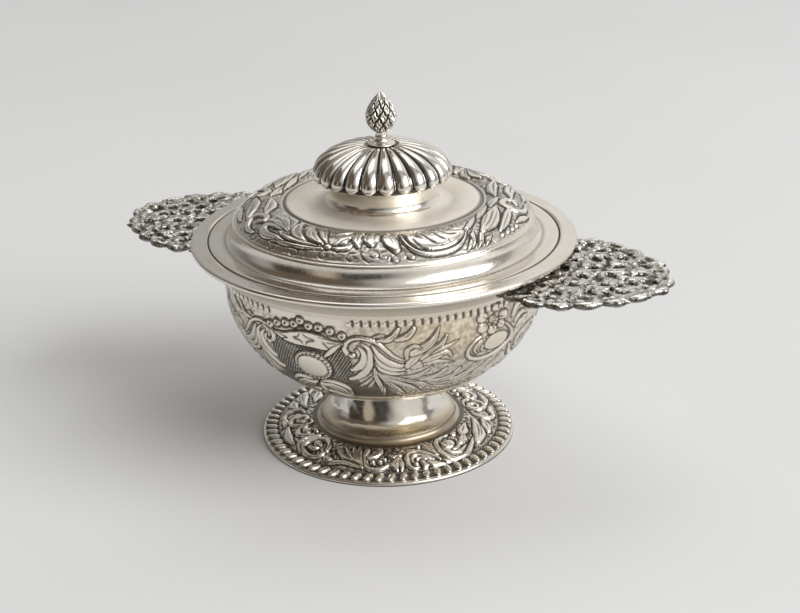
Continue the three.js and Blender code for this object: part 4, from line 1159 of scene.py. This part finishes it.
def cover():
    """A flat flange with a groove and a rounded edge, a cove, a chased band, and a waisted neck."""
    band_outer, band_inner = on_flange(54.3, 6.7), on_flange(36.5, 12.5)
    neck_base, neck_top = on_flange(19.9, 11.9), on_flange(20.9, 20.2)
    neck_edge, neck_waist = neck_base + (5.0, 0.05), neck_base + (-0.8, 2.8)
    outline = [(67.4, -1.0), (69.5, -1.0), (70.0, -0.35), (70.0, 0.35), (69.4, 1.0), (67.6, 0.95)]
    edge = rounded(np.array(outline) + (0, COVER_Z), 0.6)
    groove = np.array([(64.3, 1.0), (63.95, 0.9), (63.7, 0.45), (63.45, 0.9), (63.1, 1.0)]) + (0, COVER_Z)
    flange = on_flange(57.75, 0)
    cove = bend(on_flange(57.6, 0), (54.7, COVER_Z + 2.3), band_outer - (0, 0.5), 40)
    band = swelled(band_outer, band_inner, 3.1, 60)
    bead = join(cove[-1:], band_outer + [(0.4, -0.15), (0.45, 0.2), (0.1, 0.45)], band[1:2])
    step = band_inner + [(0, 0), (-0.5, -0.35), (-1.1, 0.15)]
    cone = swelled(step[-1], neck_edge, 0.45, 12)
    neck = join(
        bend(neck_edge, neck_base + (0.3, 0.0), neck_waist, 16),
        bend(neck_waist, neck_base + (-1.4, 5.2), neck_top, 16),
    )
    under = offset(resampled(join(flange, cove, band, step, cone, neck), 2.0), 1.0)[::-1]
    under[0, 1] = neck_top[1]
    runs = {
        "edge": (edge, 0.35),
        "margin": ([edge[-1], groove[0]], 1.0),
        "groove": (groove, 0.12),
        "flange": (join(groove[-1:], flange), 1.0),
        "cove": (cove, 0.3),
        "bead": (bead, 0.2),
        "band": (band[1:], 0.3),
        "step": (step, 0.25),
        "cone": (cone, 1.0),
        "neck": (neck, 0.5),
        "under": (under, 2.0),
        "lip": (join(under[-1:], [(66.4, COVER_Z)], [edge[0]]), 1.0),
    }
    profile, starts = rows_of(*runs.values())
    at = dict(zip(runs, starts))
    first, last = at["band"], at["step"]
    s = lengths(profile[first:last]) + 0.5
    chased = Band(profile[first:last, 0], s, DENSE)
    chased.ground(0.9, s[-1] - 0.2, depth=0.08, dark=0.3)
    chased.ground(4.5, s[-1] - 0.2, depth=0.1, dark=0.5)
    for turn in (CAMERA_TURN, CAMERA_TURN + 180):
        cover_side(chased.facing(turn))
    ease = soft_ends(s, 0.9, s[-1], 0.7)
    height = np.zeros((len(profile), DENSE))
    height[first:last] = (0.72 * np.maximum(chased.height, -0.5) - 0.15) * ease
    marks = spread(height.shape, first, chased.marks(), "stain_and_shade")
    marks["crest"][first:last] *= ease
    for start, end, hollow in (
        (at["groove"] + 2, at["flange"] - 2, 0.85),
        (at["step"], at["cone"], 0.75),
        (at["bead"], at["bead"] + 2, 0.6),
        (at["cove"] - 1, at["cove"] + 2, 0.45),
    ):
        marks["hollow"][start:end] = hollow
    row, radius, angle = np.arange(len(profile))[:, None], profile[:, :1], np.radians(around(DENSE))
    within = lambda start, end: (row > start) & (row < end)
    plain = within(at["margin"], at["groove"]) | within(at["flange"] + 1, at["bead"] - 1)
    plain |= within(at["cone"] + 1, at["neck"])
    wobble = 0.05 * np.sin(5 * angle + radius * 0.25) + 0.04 * np.sin(9 * angle - radius * 0.4 + 1)
    wobble += 0.03 * np.sin(14 * angle + radius * 0.9)
    height += wobble * plain
    marks["matt"] = within(at["cone"] - 1, at["neck"] + 8) * 1.2
    turned("chased_cover", profile, DENSE, height, marks)


def bezel():
    """The plain ring that stands inside the bowl's rim."""
    bottom, top, outer, gauge = low("lid_bezel"), high("lid_bezel") + 0.2, reach("lid_bezel"), 1.1
    middle, inner = (outer - 0.5, bottom), outer - gauge
    ring = [middle, (outer, bottom), (outer, top), (inner, top), (inner, bottom), middle]
    turned("bezel_ring", rounded(np.array(ring), 0.25)[:-1], 240)


def dome():
    """Round lobes that run up to a sunk round seat and overhang the neck."""
    lobes, fine, wide, seat, bore, gauge = 24, 26, 25.2, 5.9, 1.5, 1.9
    crown = DOME_TOP - DOME_Z - 0.04
    cap = dish(wide, 10.9, 2.4, 90)
    cap = np.stack([cap[:, 0], np.minimum(13.2 - cap[:, 1], crown)], 1)[::-1]
    body = join(bend((22.4, 0.15), (25.0, 0.2), (wide, 2.3), 14), cap[cap[:, 0] > 6.9])
    sink, hole = bend((6.9, crown), (6.2, crown), (seat, 12.2), 6), [(bore, 12.2)]
    outer = join(body, sink, hole) + (0, DOME_Z)
    inner = offset(resampled(join(body, hole) + (0, DOME_Z), 1.5), gauge)[::-1]
    inner[:, 0] = np.maximum(inner[:, 0], bore)
    inner = inner[inner[:, 1] > DOME_Z + 1.0]
    foot_ring = np.array([(19.7, 1.0), (19.7, -0.25), (21.2, -0.25), (22.4, 0.15)]) + (0, DOME_Z)
    profile, starts = rows_of(
        (outer, 0.3), ([outer[-1], inner[0]], 0.6), (inner, 1.5), (join([inner[-1]], foot_ring), 0.6)
    )
    radius, rise = profile[:, :1], profile[:, 1:] - DOME_Z
    upper = np.arange(len(profile))[:, None] < starts[1]
    outside = upper & (radius > seat)
    x = ((np.arange(lobes * fine) / fine + 0.5) % 1 - 0.5) * 2
    width = np.sqrt(unit(1 - (1 - unit((rise - 0.2) / 2.9)) ** 2))
    q = np.abs(x) / np.maximum(width * 0.97, 0.02)
    lobe = unit(1 - q**2.2) ** 0.6
    depth = (0.35 + 2.0 * (radius / wide) ** 1.1) * unit(rise / 0.8) * unit((radius - seat) / 1.0)
    edge = 0.14 * np.exp(-(((q - 0.86) / 0.08) ** 2)) * unit((5.5 - rise) / 2.5)
    height = np.where(outside, (lobe - 1.0) * depth + edge * np.minimum(depth, 1), 0)
    dark = np.maximum(outside * unit((q - 0.66) / 0.22) ** 1.1, 0.85 * (upper & (radius < 6.4)))
    marks = {"hollow": dark, "crest": lobe * outside * 0.4}
    turned("lobed_dome", profile, lobes * fine, height, marks)


def collar():
    """The small flared seat of the pine cone, on the dome."""
    z, bore, bottom, top = low("finial_collar"), 1.5, -0.25, 3.15
    run = join(
        [(bore, bottom)],
        bend((4.5, bottom), (4.95, -0.2), (4.95, 0.2), 4),
        bend((4.95, 0.2), (4.9, 0.6), (4.3, 0.7), 5),
        bend((4.3, 0.7), (2.5, 1.0), (2.3, 2.6), 16),
        [(2.3, top), (bore, top)],
    )
    profile = rows_of((run, 0.2), ([(bore, top), (bore, bottom)], 0.8))[0][:-1]
    height = profile[:, 1:]
    hollow = np.where(height < 0.15, 0.7, np.clip((height - 2.5) / 0.5, 0, 0.7))
    turned("finial_skirt", profile + (0, z), 96, marks={"hollow": hollow})


def pine_cone():
    """A lattice of scales, each with a raised rim and a pit."""
    wide, belly_z, columns, scales = 5.25, 6.6, 260, 10
    stem = [(2.3, -0.25), (2.1, 0.3), (2.05, 0.8), (2.1, 1.4)]
    t = np.linspace(0.06, 1, 30)
    lower = np.stack([2.15 + 3.1 * np.sin(t * math.pi / 2) ** 0.75, 1.6 + 5.0 * t**1.05], 1)
    t = np.linspace(0, 1, 50)
    upper = np.stack([wide * np.cos(t * math.pi / 2) ** 0.85, belly_z + 9.05 * t], 1)
    profile, starts = rows_of(([(0, -0.25), (2.3, -0.25)], 1.0), (join(stem, lower, upper), 0.14))
    profile[-1, 0] = 0
    s = lengths(profile)[:, None]
    start = s[starts[1]] + 1.8
    v = np.clip(s - start, 0, None) / 5.4 + 0.2
    u = np.arange(columns) / columns * scales + 0.06 * np.sin(v * 12.5)
    m = np.maximum(np.abs((u + v) % 1 - 0.5), np.abs((u - v) % 1 - 0.5)) * 2
    rim = np.exp(-(((m - 0.55) / 0.17) ** 2)) * 0.28
    pit, groove = -0.2 * np.exp(-((m / 0.28) ** 2)), -0.6 * unit((m - 0.7) / 0.3) ** 1.2
    size = unit(profile[:, :1] / 5.2) * unit((s - start) / 1.0)
    hollow = unit(unit((m - 0.7) / 0.13) + 0.6 * np.exp(-((m / 0.27) ** 2))) * unit(size * 2)
    marks, height = {"hollow": hollow, "crest": rim * 3 * size}, (rim + pit + groove) * size
    turned("pine_cone", profile + (0, low("finial")), columns, height, marks)


for build in (foot, border, waist, bowl, cover, bezel, dome, collar, pine_cone):
    build()
for node in ("finial_washer", "finial_nut", "finial_stud"):
    bpy.data.objects[node].material_slots[0].material = STEEL

# Ears: openwork castings of scrolls, leaves and knuckles round the pierced openings

EAR_FOOT, EAR_TOP, EAR_REACH = low("handle_right"), high("handle_right"), reach("handle_right")
EAR_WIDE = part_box("handle_right")[1][1] / MM
ROOT_RADIUS, ROOT_HALF = 62.04, 28.2
EAR_SIDE = [(0.14, 0.94), (0.33, 1), (0.6, 0.84), (0.84, 0.52)]  # shares of the length and half width
PITCH, OPENING, SCALLOPS = 8.8, (2.6, 1.5), 14


class Casting:
    """Rods with round ends, swelling and thinning along smooth paths, melted into one surface."""

    def __init__(self, sides):
        self.middle, self.half, self.sides = (EAR_FOOT + EAR_TOP) / 2, (EAR_TOP - EAR_FOOT) / 2, sides
        self.points, self.quads, self.tris, self.count = [], [], [], 0

    def rod(self, path, radii, lift=0.0):
        """path holds (x, y) or (x, y, z above the middle); radii are spread along it."""
        path = smooth_path(path, 0.45)
        if path.shape[1] == 2:
            path = np.column_stack([path, np.zeros(len(path))])
        along = lengths(path)
        radius = np.interp(along / along[-1], np.linspace(0, 1, len(radii)), radii)
        run = np.gradient(path, axis=0)
        run /= np.linalg.norm(run, axis=1)[:, None]
        cap = np.radians([80, 52, 25])
        at = np.pad(np.arange(len(path)), len(cap), "edge")
        out = np.r_[-np.sin(cap), np.zeros(len(path)), np.sin(cap[::-1])]
        r = radius[at] * np.r_[np.cos(cap), np.ones(len(path)), np.cos(cap[::-1])]
        centre = path[at] + run[at] * (out * radius[at])[:, None]
        side = np.cross(run[at], (0, 0, 1.0))
        side /= np.linalg.norm(side, axis=1)[:, None]
        turn = np.arange(self.sides) * 2 * math.pi / self.sides
        ring = centre[:, None, :] + r[:, None, None] * side[:, None, :] * np.cos(turn)[None, :, None]
        tall = np.minimum(r, self.half * 0.97 * np.sqrt(np.clip(1 - out**2, 0.03, 1)))
        z, room = centre[:, 2:3] + lift + tall[:, None] * np.sin(turn), self.half - 0.02
        ring[..., 2] = self.middle + np.clip(z, -room, room)
        rows, n = len(ring), self.sides
        index = self.count + np.arange(rows * n).reshape(rows, n)
        beside = np.roll(index, -1, 1)
        self.points += [ring.reshape(-1, 3), np.array([ring[0].mean(0), ring[-1].mean(0)])]
        self.quads.append(np.stack([index[:-1], index[1:], beside[1:], beside[:-1]], -1).reshape(-1, 4))
        first = np.full(n, self.count + rows * n)
        self.tris.append(np.stack([first, index[0], beside[0]], -1))
        self.tris.append(np.stack([first + 1, beside[-1], index[-1]], -1))
        self.count += rows * n + 2

    def knob(self, x, y, radius, lift):
        """A round knob, as a very short rod."""
        self.rod([(x - 0.12, y), (x + 0.12, y)], [radius, radius], lift)

    def add(self, other):
        """Takes in another casting's rods."""
        self.points += other.points
        self.quads += [part + self.count for part in other.quads]
        self.tris += [part + self.count for part in other.tris]

    def melted(self, voxel):
        """The rods' union as points in millimetres and four-sided faces."""
        mesh = bpy.data.meshes.new("rods")
        faces = np.vstack(self.quads).tolist() + np.vstack(self.tris).tolist()
        mesh.from_pydata(np.vstack(self.points).tolist(), [], faces)
        rods = stand("rods", mesh)
        melt = rods.modifiers.new("melt", "REMESH")
        melt.mode = "VOXEL"
        melt.voxel_size = voxel
        whole = rods.evaluated_get(bpy.context.evaluated_depsgraph_get()).to_mesh()
        points, faces = np.empty(len(whole.vertices) * 3), np.empty(len(whole.polygons) * 4, np.int32)
        whole.vertices.foreach_get("co", points)
        whole.polygons.foreach_get("vertices", faces)
        bpy.data.objects.remove(rods)
        bpy.data.meshes.remove(mesh)
        return points.reshape(-1, 3), faces.reshape(-1, 4)


class Outline:
    """The ear's outline without its scallops, from one end of the root round the tip to the other."""

    def __init__(self):
        root = (math.sqrt(ROOT_RADIUS**2 - ROOT_HALF**2), ROOT_HALF)
        length = EAR_REACH - root[0]
        side = [root] + [(root[0] + out * length, across * (EAR_WIDE - 0.1)) for out, across in EAR_SIDE]
        self.path = smooth_path(side + [(EAR_REACH, 0)] + [(x, -y) for x, y in side[::-1]], 0.4)
        self.along = lengths(self.path)
        upper = self.path[self.path[:, 1] >= 0]
        self.upper = upper[np.argsort(upper[:, 0])]

    def inward(self, depth):
        """The whole outline, moved inwards."""
        return self.path + depth * normals(self.path)

    def spot(self, depth, share):
        """A point some way inside the outline, at a share of its length."""
        path, at = self.inward(depth), share * self.along[-1]
        return np.array([np.interp(at, self.along, path[:, 0]), np.interp(at, self.along, path[:, 1])])

    def beyond(self, x, y, depth):
        """Whether a point is outside the outline, or less than a depth inside it."""
        return abs(y) > np.interp(x, self.upper[:, 0], self.upper[:, 1]) - depth


def rim_of(made, outline):
    """The root, soldered to the bowl, an inner rail, and the scalloped edge: leaf-shaped crescents
    with curled ends, and knuckles between them."""
    turn, radius = np.radians(np.linspace(-26.5, 26.5, 23)), ROOT_RADIUS + 1.35
    made.rod(np.stack([radius * np.cos(turn), radius * np.sin(turn)], 1), [1.3])
    rail = outline.inward(4.4)[6:-6:4]
    wave = 0.25 * np.sin(np.arange(len(rail)) * 1.1)
    made.rod(np.column_stack([rail, wave]), [1.05, 0.85, 1.1, 0.85, 1.1, 0.85, 1.05])
    for i in range(SCALLOPS):
        a, b = i / SCALLOPS, (i + 1) / SCALLOPS
        middle, quarter, fifth = (a + b) / 2, 0.25 / SCALLOPS, 0.2 / SCALLOPS
        left, right = outline.spot(2.7, a + 0.004), outline.spot(2.7, b - 0.004)
        bulge, rise, fall = (outline.spot(1.45, middle), outline.spot(1.75, a + quarter),
                             outline.spot(1.75, b - quarter))
        into_left, into_right = outline.spot(4.9, a + fifth), outline.spot(4.9, b - fifth)
        if i % 2 == 0:
            leaf = [into_left, left, rise, bulge, fall, right, into_right]
            made.rod(leaf, [1.0, 0.85, 1.1, 1.55, 1.75, 1.3, 0.85, 1.15], 0.1)
            made.knob(*into_left, 1.45, 0.15)
        else:
            made.rod([left, rise, bulge], [0.9, 1.35, 1.6], -0.1)
            made.rod([bulge, fall, right, into_right], [1.45, 1.2, 0.9, 1.3], 0.15)
            made.knob(*bulge, 1.95, 0.1)
            made.knob(*outline.spot(4.4, middle), 1.35, 0.3)


def scrolls_of(made, outline, dice):
    """A scroll round each pierced opening, with leaves and buds over its shoulders. It gives the
    openings as (x, y, cosine and sine of the opening's lean)."""
    openings, room = [], 6.2  # the room that a scroll needs inside the outline
    toward = lambda angle: np.array([math.cos(angle), math.sin(angle)])
    for row in range(int((EAR_REACH - ROOT_RADIUS) // PITCH)):
        radius = ROOT_RADIUS + PITCH * (row + 0.75)
        for column in range(-4, 5):
            turn = (column + (row % 2) / 2) * PITCH / radius
            x, y = radius * math.cos(turn), radius * math.sin(turn)
            if x > EAR_REACH - room or outline.beyond(x, y, room):
                continue
            handed = 1 if (column + row) % 2 else -1
            lean = turn + math.radians(35) * handed
            t = dice.uniform(0, 2 * math.pi) + handed * np.radians(np.linspace(0, 335, 16))
            grow = np.linspace(0.94, 1.1, 16)
            ex, ey = (OPENING[0] + 1.05) * np.cos(t) * grow, (OPENING[1] + 1.15) * np.sin(t) * grow
            c, s = math.cos(lean), math.sin(lean)
            loop = np.stack([x + ex * c - ey * s, y + ex * s + ey * c, 0.22 * np.sin(2 * t)], 1)
            made.rod(loop, [0.8, 1.1, 1.3, 1.45, 1.35, 1.0])
            made.knob(*loop[-1, :2], dice.uniform(1.5, 1.8), 0.2)
            openings.append((x, y, c, s))
            for hand in (handed, -handed):
                out = toward(turn + math.pi / 2 * hand + dice.uniform(-0.7, 0.7))
                way = toward(lean + dice.uniform(0.5, 1.2) * hand)
                start = np.array([x, y]) + 4.1 * out - 1.6 * way
                end = start + dice.uniform(4.4, 6.2) * way
                made.rod([start, (start + end) / 2 + 1.1 * out, end], [0.6, 1.25, 1.6, 1.1, 0.5], 0.4)
                made.knob(*(start + 0.5 * out), dice.uniform(1.0, 1.4), 0.45)
    return openings


def ear():
    """One casting, out along +X, symmetric about it but for small hand-made differences."""
    made, web, outline, dice = Casting(10), Casting(6), Outline(), np.random.default_rng(11)
    rim_of(made, outline)
    openings = scrolls_of(made, outline, dice)

    def in_opening(x, y, margin):
        """Whether a point is in an opening, which has a margin of its own in each direction."""
        return any(
            math.hypot(
                ((x - a) * c + (y - b) * s) / (OPENING[0] + margin[0]),
                ((y - b) * c - (x - a) * s) / (OPENING[1] + margin[1]),
            ) < 1
            for a, b, c, s in openings
        )

    # small buds and leaf tips strewn over the rest
    tries = 200
    for _ in range(tries):
        x, y = dice.uniform(ROOT_RADIUS - 4, EAR_REACH - 3.4), dice.uniform(-EAR_WIDE, EAR_WIDE)
        way, size, lift = dice.uniform(0, math.pi), dice.uniform(0.9, 1.7), dice.uniform(0.2, 0.6)
        near_root = math.hypot(x, y) < ROOT_RADIUS + 2.6
        if outline.beyond(x, y, 2.2) or near_root or in_opening(x, y, (1.2, 1.1)):
            continue
        spot, step = np.array([x, y]), np.array([math.cos(way), math.sin(way)]) * dice.uniform(0.9, 3.0)
        made.rod([spot - step, spot, spot + step * 0.8], [0.35, size, 0.5], lift)
    # a thin web behind the castings
    depth, flatness = -0.35, 0.42
    for i, x in enumerate(np.arange(60.0, EAR_REACH - 3.0, 1.35)):
        for y in np.arange(-EAR_WIDE, EAR_WIDE, 1.5) + (i % 2) * 0.75:
            near_root = math.hypot(x, y) < ROOT_RADIUS + 1.4
            if not (outline.beyond(x, y, 3.4) or near_root or in_opening(x, y, (0.9, 0.9))):
                web.knob(x, y, 1.15, depth)
    for part in web.points:
        part[:, 2] = made.middle + depth + (part[:, 2] - made.middle - depth) * flatness
    made.add(web)
    points, faces = made.melted(0.36)
    # dirt between the castings, wear on top of them
    cell, left, front = 0.5, 50, -40  # a grid of heights, from this corner in millimetres
    grid = np.zeros((180, 200))
    column, row = ((points[:, 0] - left) / cell).astype(int), ((points[:, 1] - front) / cell).astype(int)
    stands = np.abs(points[:, 2] - made.middle)
    np.maximum.at(grid, (column, row), stands + 0.2)
    about = blurred(grid, 3)[column, row]
    hollow = unit(1.0 - stands / (0.43 + 0.85 * about)) ** 0.6
    crest = unit((stands - 1.02 * about - 0.1) / 0.5)
    return points, faces, {"hollow": hollow, "crest": crest}


def ears():
    """The casting on the right, and the same one turned round to the left."""
    points, faces, marks = ear()
    for name, way in (("pierced_ear_right", 1), ("pierced_ear_left", -1)):
        placed = points * (way, way, 1)
        corners = placed[faces]
        across = np.cross(corners[:, 2] - corners[:, 0], corners[:, 3] - corners[:, 1])
        upper, flat = (across[:, 2] > 0)[:, None], corners[..., :2] * way
        # the faces that look up lie in one half of the map, and the others in the other half
        left, front, wide, deep = 50, -36, 130, 72  # the map's corner and size in millimetres
        u = (flat[..., 0] - left) / wide + np.where(upper, 0, 0.5)
        uv = np.stack([u, (flat[..., 1] - front) / deep], -1)
        piece_of(name, placed, [faces], marks, uv.reshape(-1, 2))


ears()

# Floor, light and camera

ROUND = Matrix.Rotation(math.radians(CAMERA_TURN), 3, "Z")


def floor():
    """A sheet of pale paper on the table."""
    size = 14.0  # metres from the middle to each side
    points = np.array([(-size, -size, 0), (size, -size, 0), (size, size, 0), (-size, size, 0)]) / MM
    material, tree, shader, place = principled("pale paper")
    shader.inputs["Roughness"].default_value = 0.85
    shader.inputs["Specular IOR Level"].default_value = 0.15
    cloud = ranged(tree, noise(tree, 3, 2, place), 0.3, 0.7)
    tree.links.new(mixed(tree, cloud, (0.73, 0.735, 0.74), (0.76, 0.763, 0.765)), shader.inputs["Base Color"])
    tree.links.new(bumped(tree, noise(tree, 700, 3, place), 0.05, 0.0002), shader.inputs["Normal"])
    add_mesh("table_paper", points, [np.array([[0, 1, 2, 3]])], material)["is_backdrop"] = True


def lamp(name, power, size, spot):
    """A soft rectangular lamp, placed as seen from the camera: right, away and up, in metres."""
    light = bpy.data.lights.new(name, "AREA")
    light.shape = "RECTANGLE"
    light.size, light.size_y = size
    light.energy = power
    made = stand(name, light)
    made.location = ROUND @ Vector(spot)
    aim = ROUND @ Vector((0, 0, 0.06)) - made.location
    made.rotation_euler = aim.to_track_quat("-Z", "Y").to_euler()


COLD, TAN, WARM = (1, 0.985, 0.965), (1, 0.87, 0.7), (1, 0.8, 0.6)
# tones round the room: (degrees from the front towards the right, tone, tint)
LEFT = [(-180, 0.58, COLD), (-177, 0.48, COLD), (-172, 0.4, COLD), (-150, 0.36, COLD), (-136, 0.28, COLD)]
TABLE_HIGH = [
    (-120, 0.16, COLD), (-104, 0.34, COLD), (-92, 0.34, COLD), (-86, 0.05, WARM), (-57, 0.04, WARM),
    (-51, 0.46, TAN), (-38, 0.46, TAN), (-32, 0.05, COLD), (-2, 0.06, COLD), (10, 0.34, COLD),
    (22, 0.6, COLD),
]
ABOVE = [(-120, 0.13, WARM), (-24, 0.12, WARM), (-8, 0.36, COLD), (10, 0.6, COLD)]
RIGHT = [
    (36, 0.7, COLD), (76, 0.68, COLD), (84, 0.26, COLD), (102, 0.26, COLD), (112, 0.7, COLD),
    (140, 0.8, COLD), (174, 0.8, COLD), (180, 0.6, COLD),
]
ZENITH = (0.44, 0.44, 0.435)


def ramped(tree, share, stops):
    """The tones of some stops round the room."""
    ramp = tree.nodes.new("ShaderNodeValToRGB")
    ramp.color_ramp.interpolation = "EASE"
    elements = ramp.color_ramp.elements
    while len(elements) < len(stops):
        elements.new(0.5)
    for element, (angle, value, tint) in zip(elements, stops):
        element.position = (angle + 180) / 360
        element.color = (*(value * t for t in tint), 1)
    tree.links.new(share, ramp.inputs["Fac"])
    return ramp.outputs["Color"]


def world():
    """A room as the silver mirrors it: dark bays to the front left, bright to the right, grey above."""
    made = bpy.data.worlds.new("studio")
    bpy.context.scene.world = made
    made.use_nodes = True
    tree = made.node_tree
    turn = tree.nodes.new("ShaderNodeMapping")
    turn.vector_type = "POINT"
    turn.inputs["Rotation"].default_value = (0, 0, -math.radians(CAMERA_TURN))
    tree.links.new(tree.nodes.new("ShaderNodeTexCoord").outputs["Generated"], turn.inputs["Vector"])
    apart = tree.nodes.new("ShaderNodeSeparateXYZ")
    tree.links.new(turn.outputs["Vector"], apart.inputs[0])
    x, y, z = apart.outputs
    share = ranged(tree, maths(tree, "ARCTAN2", x, times(tree, y, -1.0)), -math.pi, math.pi)
    low_tone = ramped(tree, share, LEFT + TABLE_HIGH + RIGHT)
    tone = mixed(tree, ranged(tree, z, 0.3, 0.5), low_tone, ramped(tree, share, LEFT + ABOVE + RIGHT))
    tone = mixed(tree, ranged(tree, z, 0.88, 1.0), tone, ZENITH)
    tree.links.new(tone, tree.nodes["Background"].inputs["Color"])
    tree.nodes["Background"].inputs["Strength"].default_value = 1.0


def camera():
    """The photograph's view: 22.6 degrees down, a little off the lens's axis and a little turned."""
    down, distance, shift, roll = math.radians(22.57), 0.560, (0.00535, 0.04551), math.radians(-1.2)
    focal, width, film = 1453.96, 800, 36  # the first two in the photograph's pixels, the last in mm
    right = Vector((1, 0, 0))
    ahead, up = Vector((0, math.cos(down), -math.sin(down))), Vector((0, math.sin(down), math.cos(down)))
    spot = -distance * ahead + shift[0] * right + shift[1] * up
    across = right * math.cos(roll) + up * math.sin(roll)
    upward = up * math.cos(roll) - right * math.sin(roll)
    turn = Matrix((across, upward, -ahead)).transposed()
    data = bpy.data.cameras.new("photo view")
    data.sensor_width, data.lens = film, film * focal / width
    data.clip_start, data.clip_end = 0.02, 20
    made = stand("photo view", data)
    made.matrix_world = Matrix.Translation(ROUND @ spot) @ (ROUND @ turn).to_4x4()
    bpy.context.scene.camera = made


floor()
lamp("key", 82, (2.6, 2.1), (2.2, -1.25, 1.9))
lamp("top", 11, (2.2, 1.8), (-0.2, 0.9, 2.4))
world()
camera()

bpy.context.scene.view_settings.view_transform = "Standard"

{"cad": [list(corner) for corner in CAD_BOX], "visual": [list(corner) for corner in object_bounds()]}
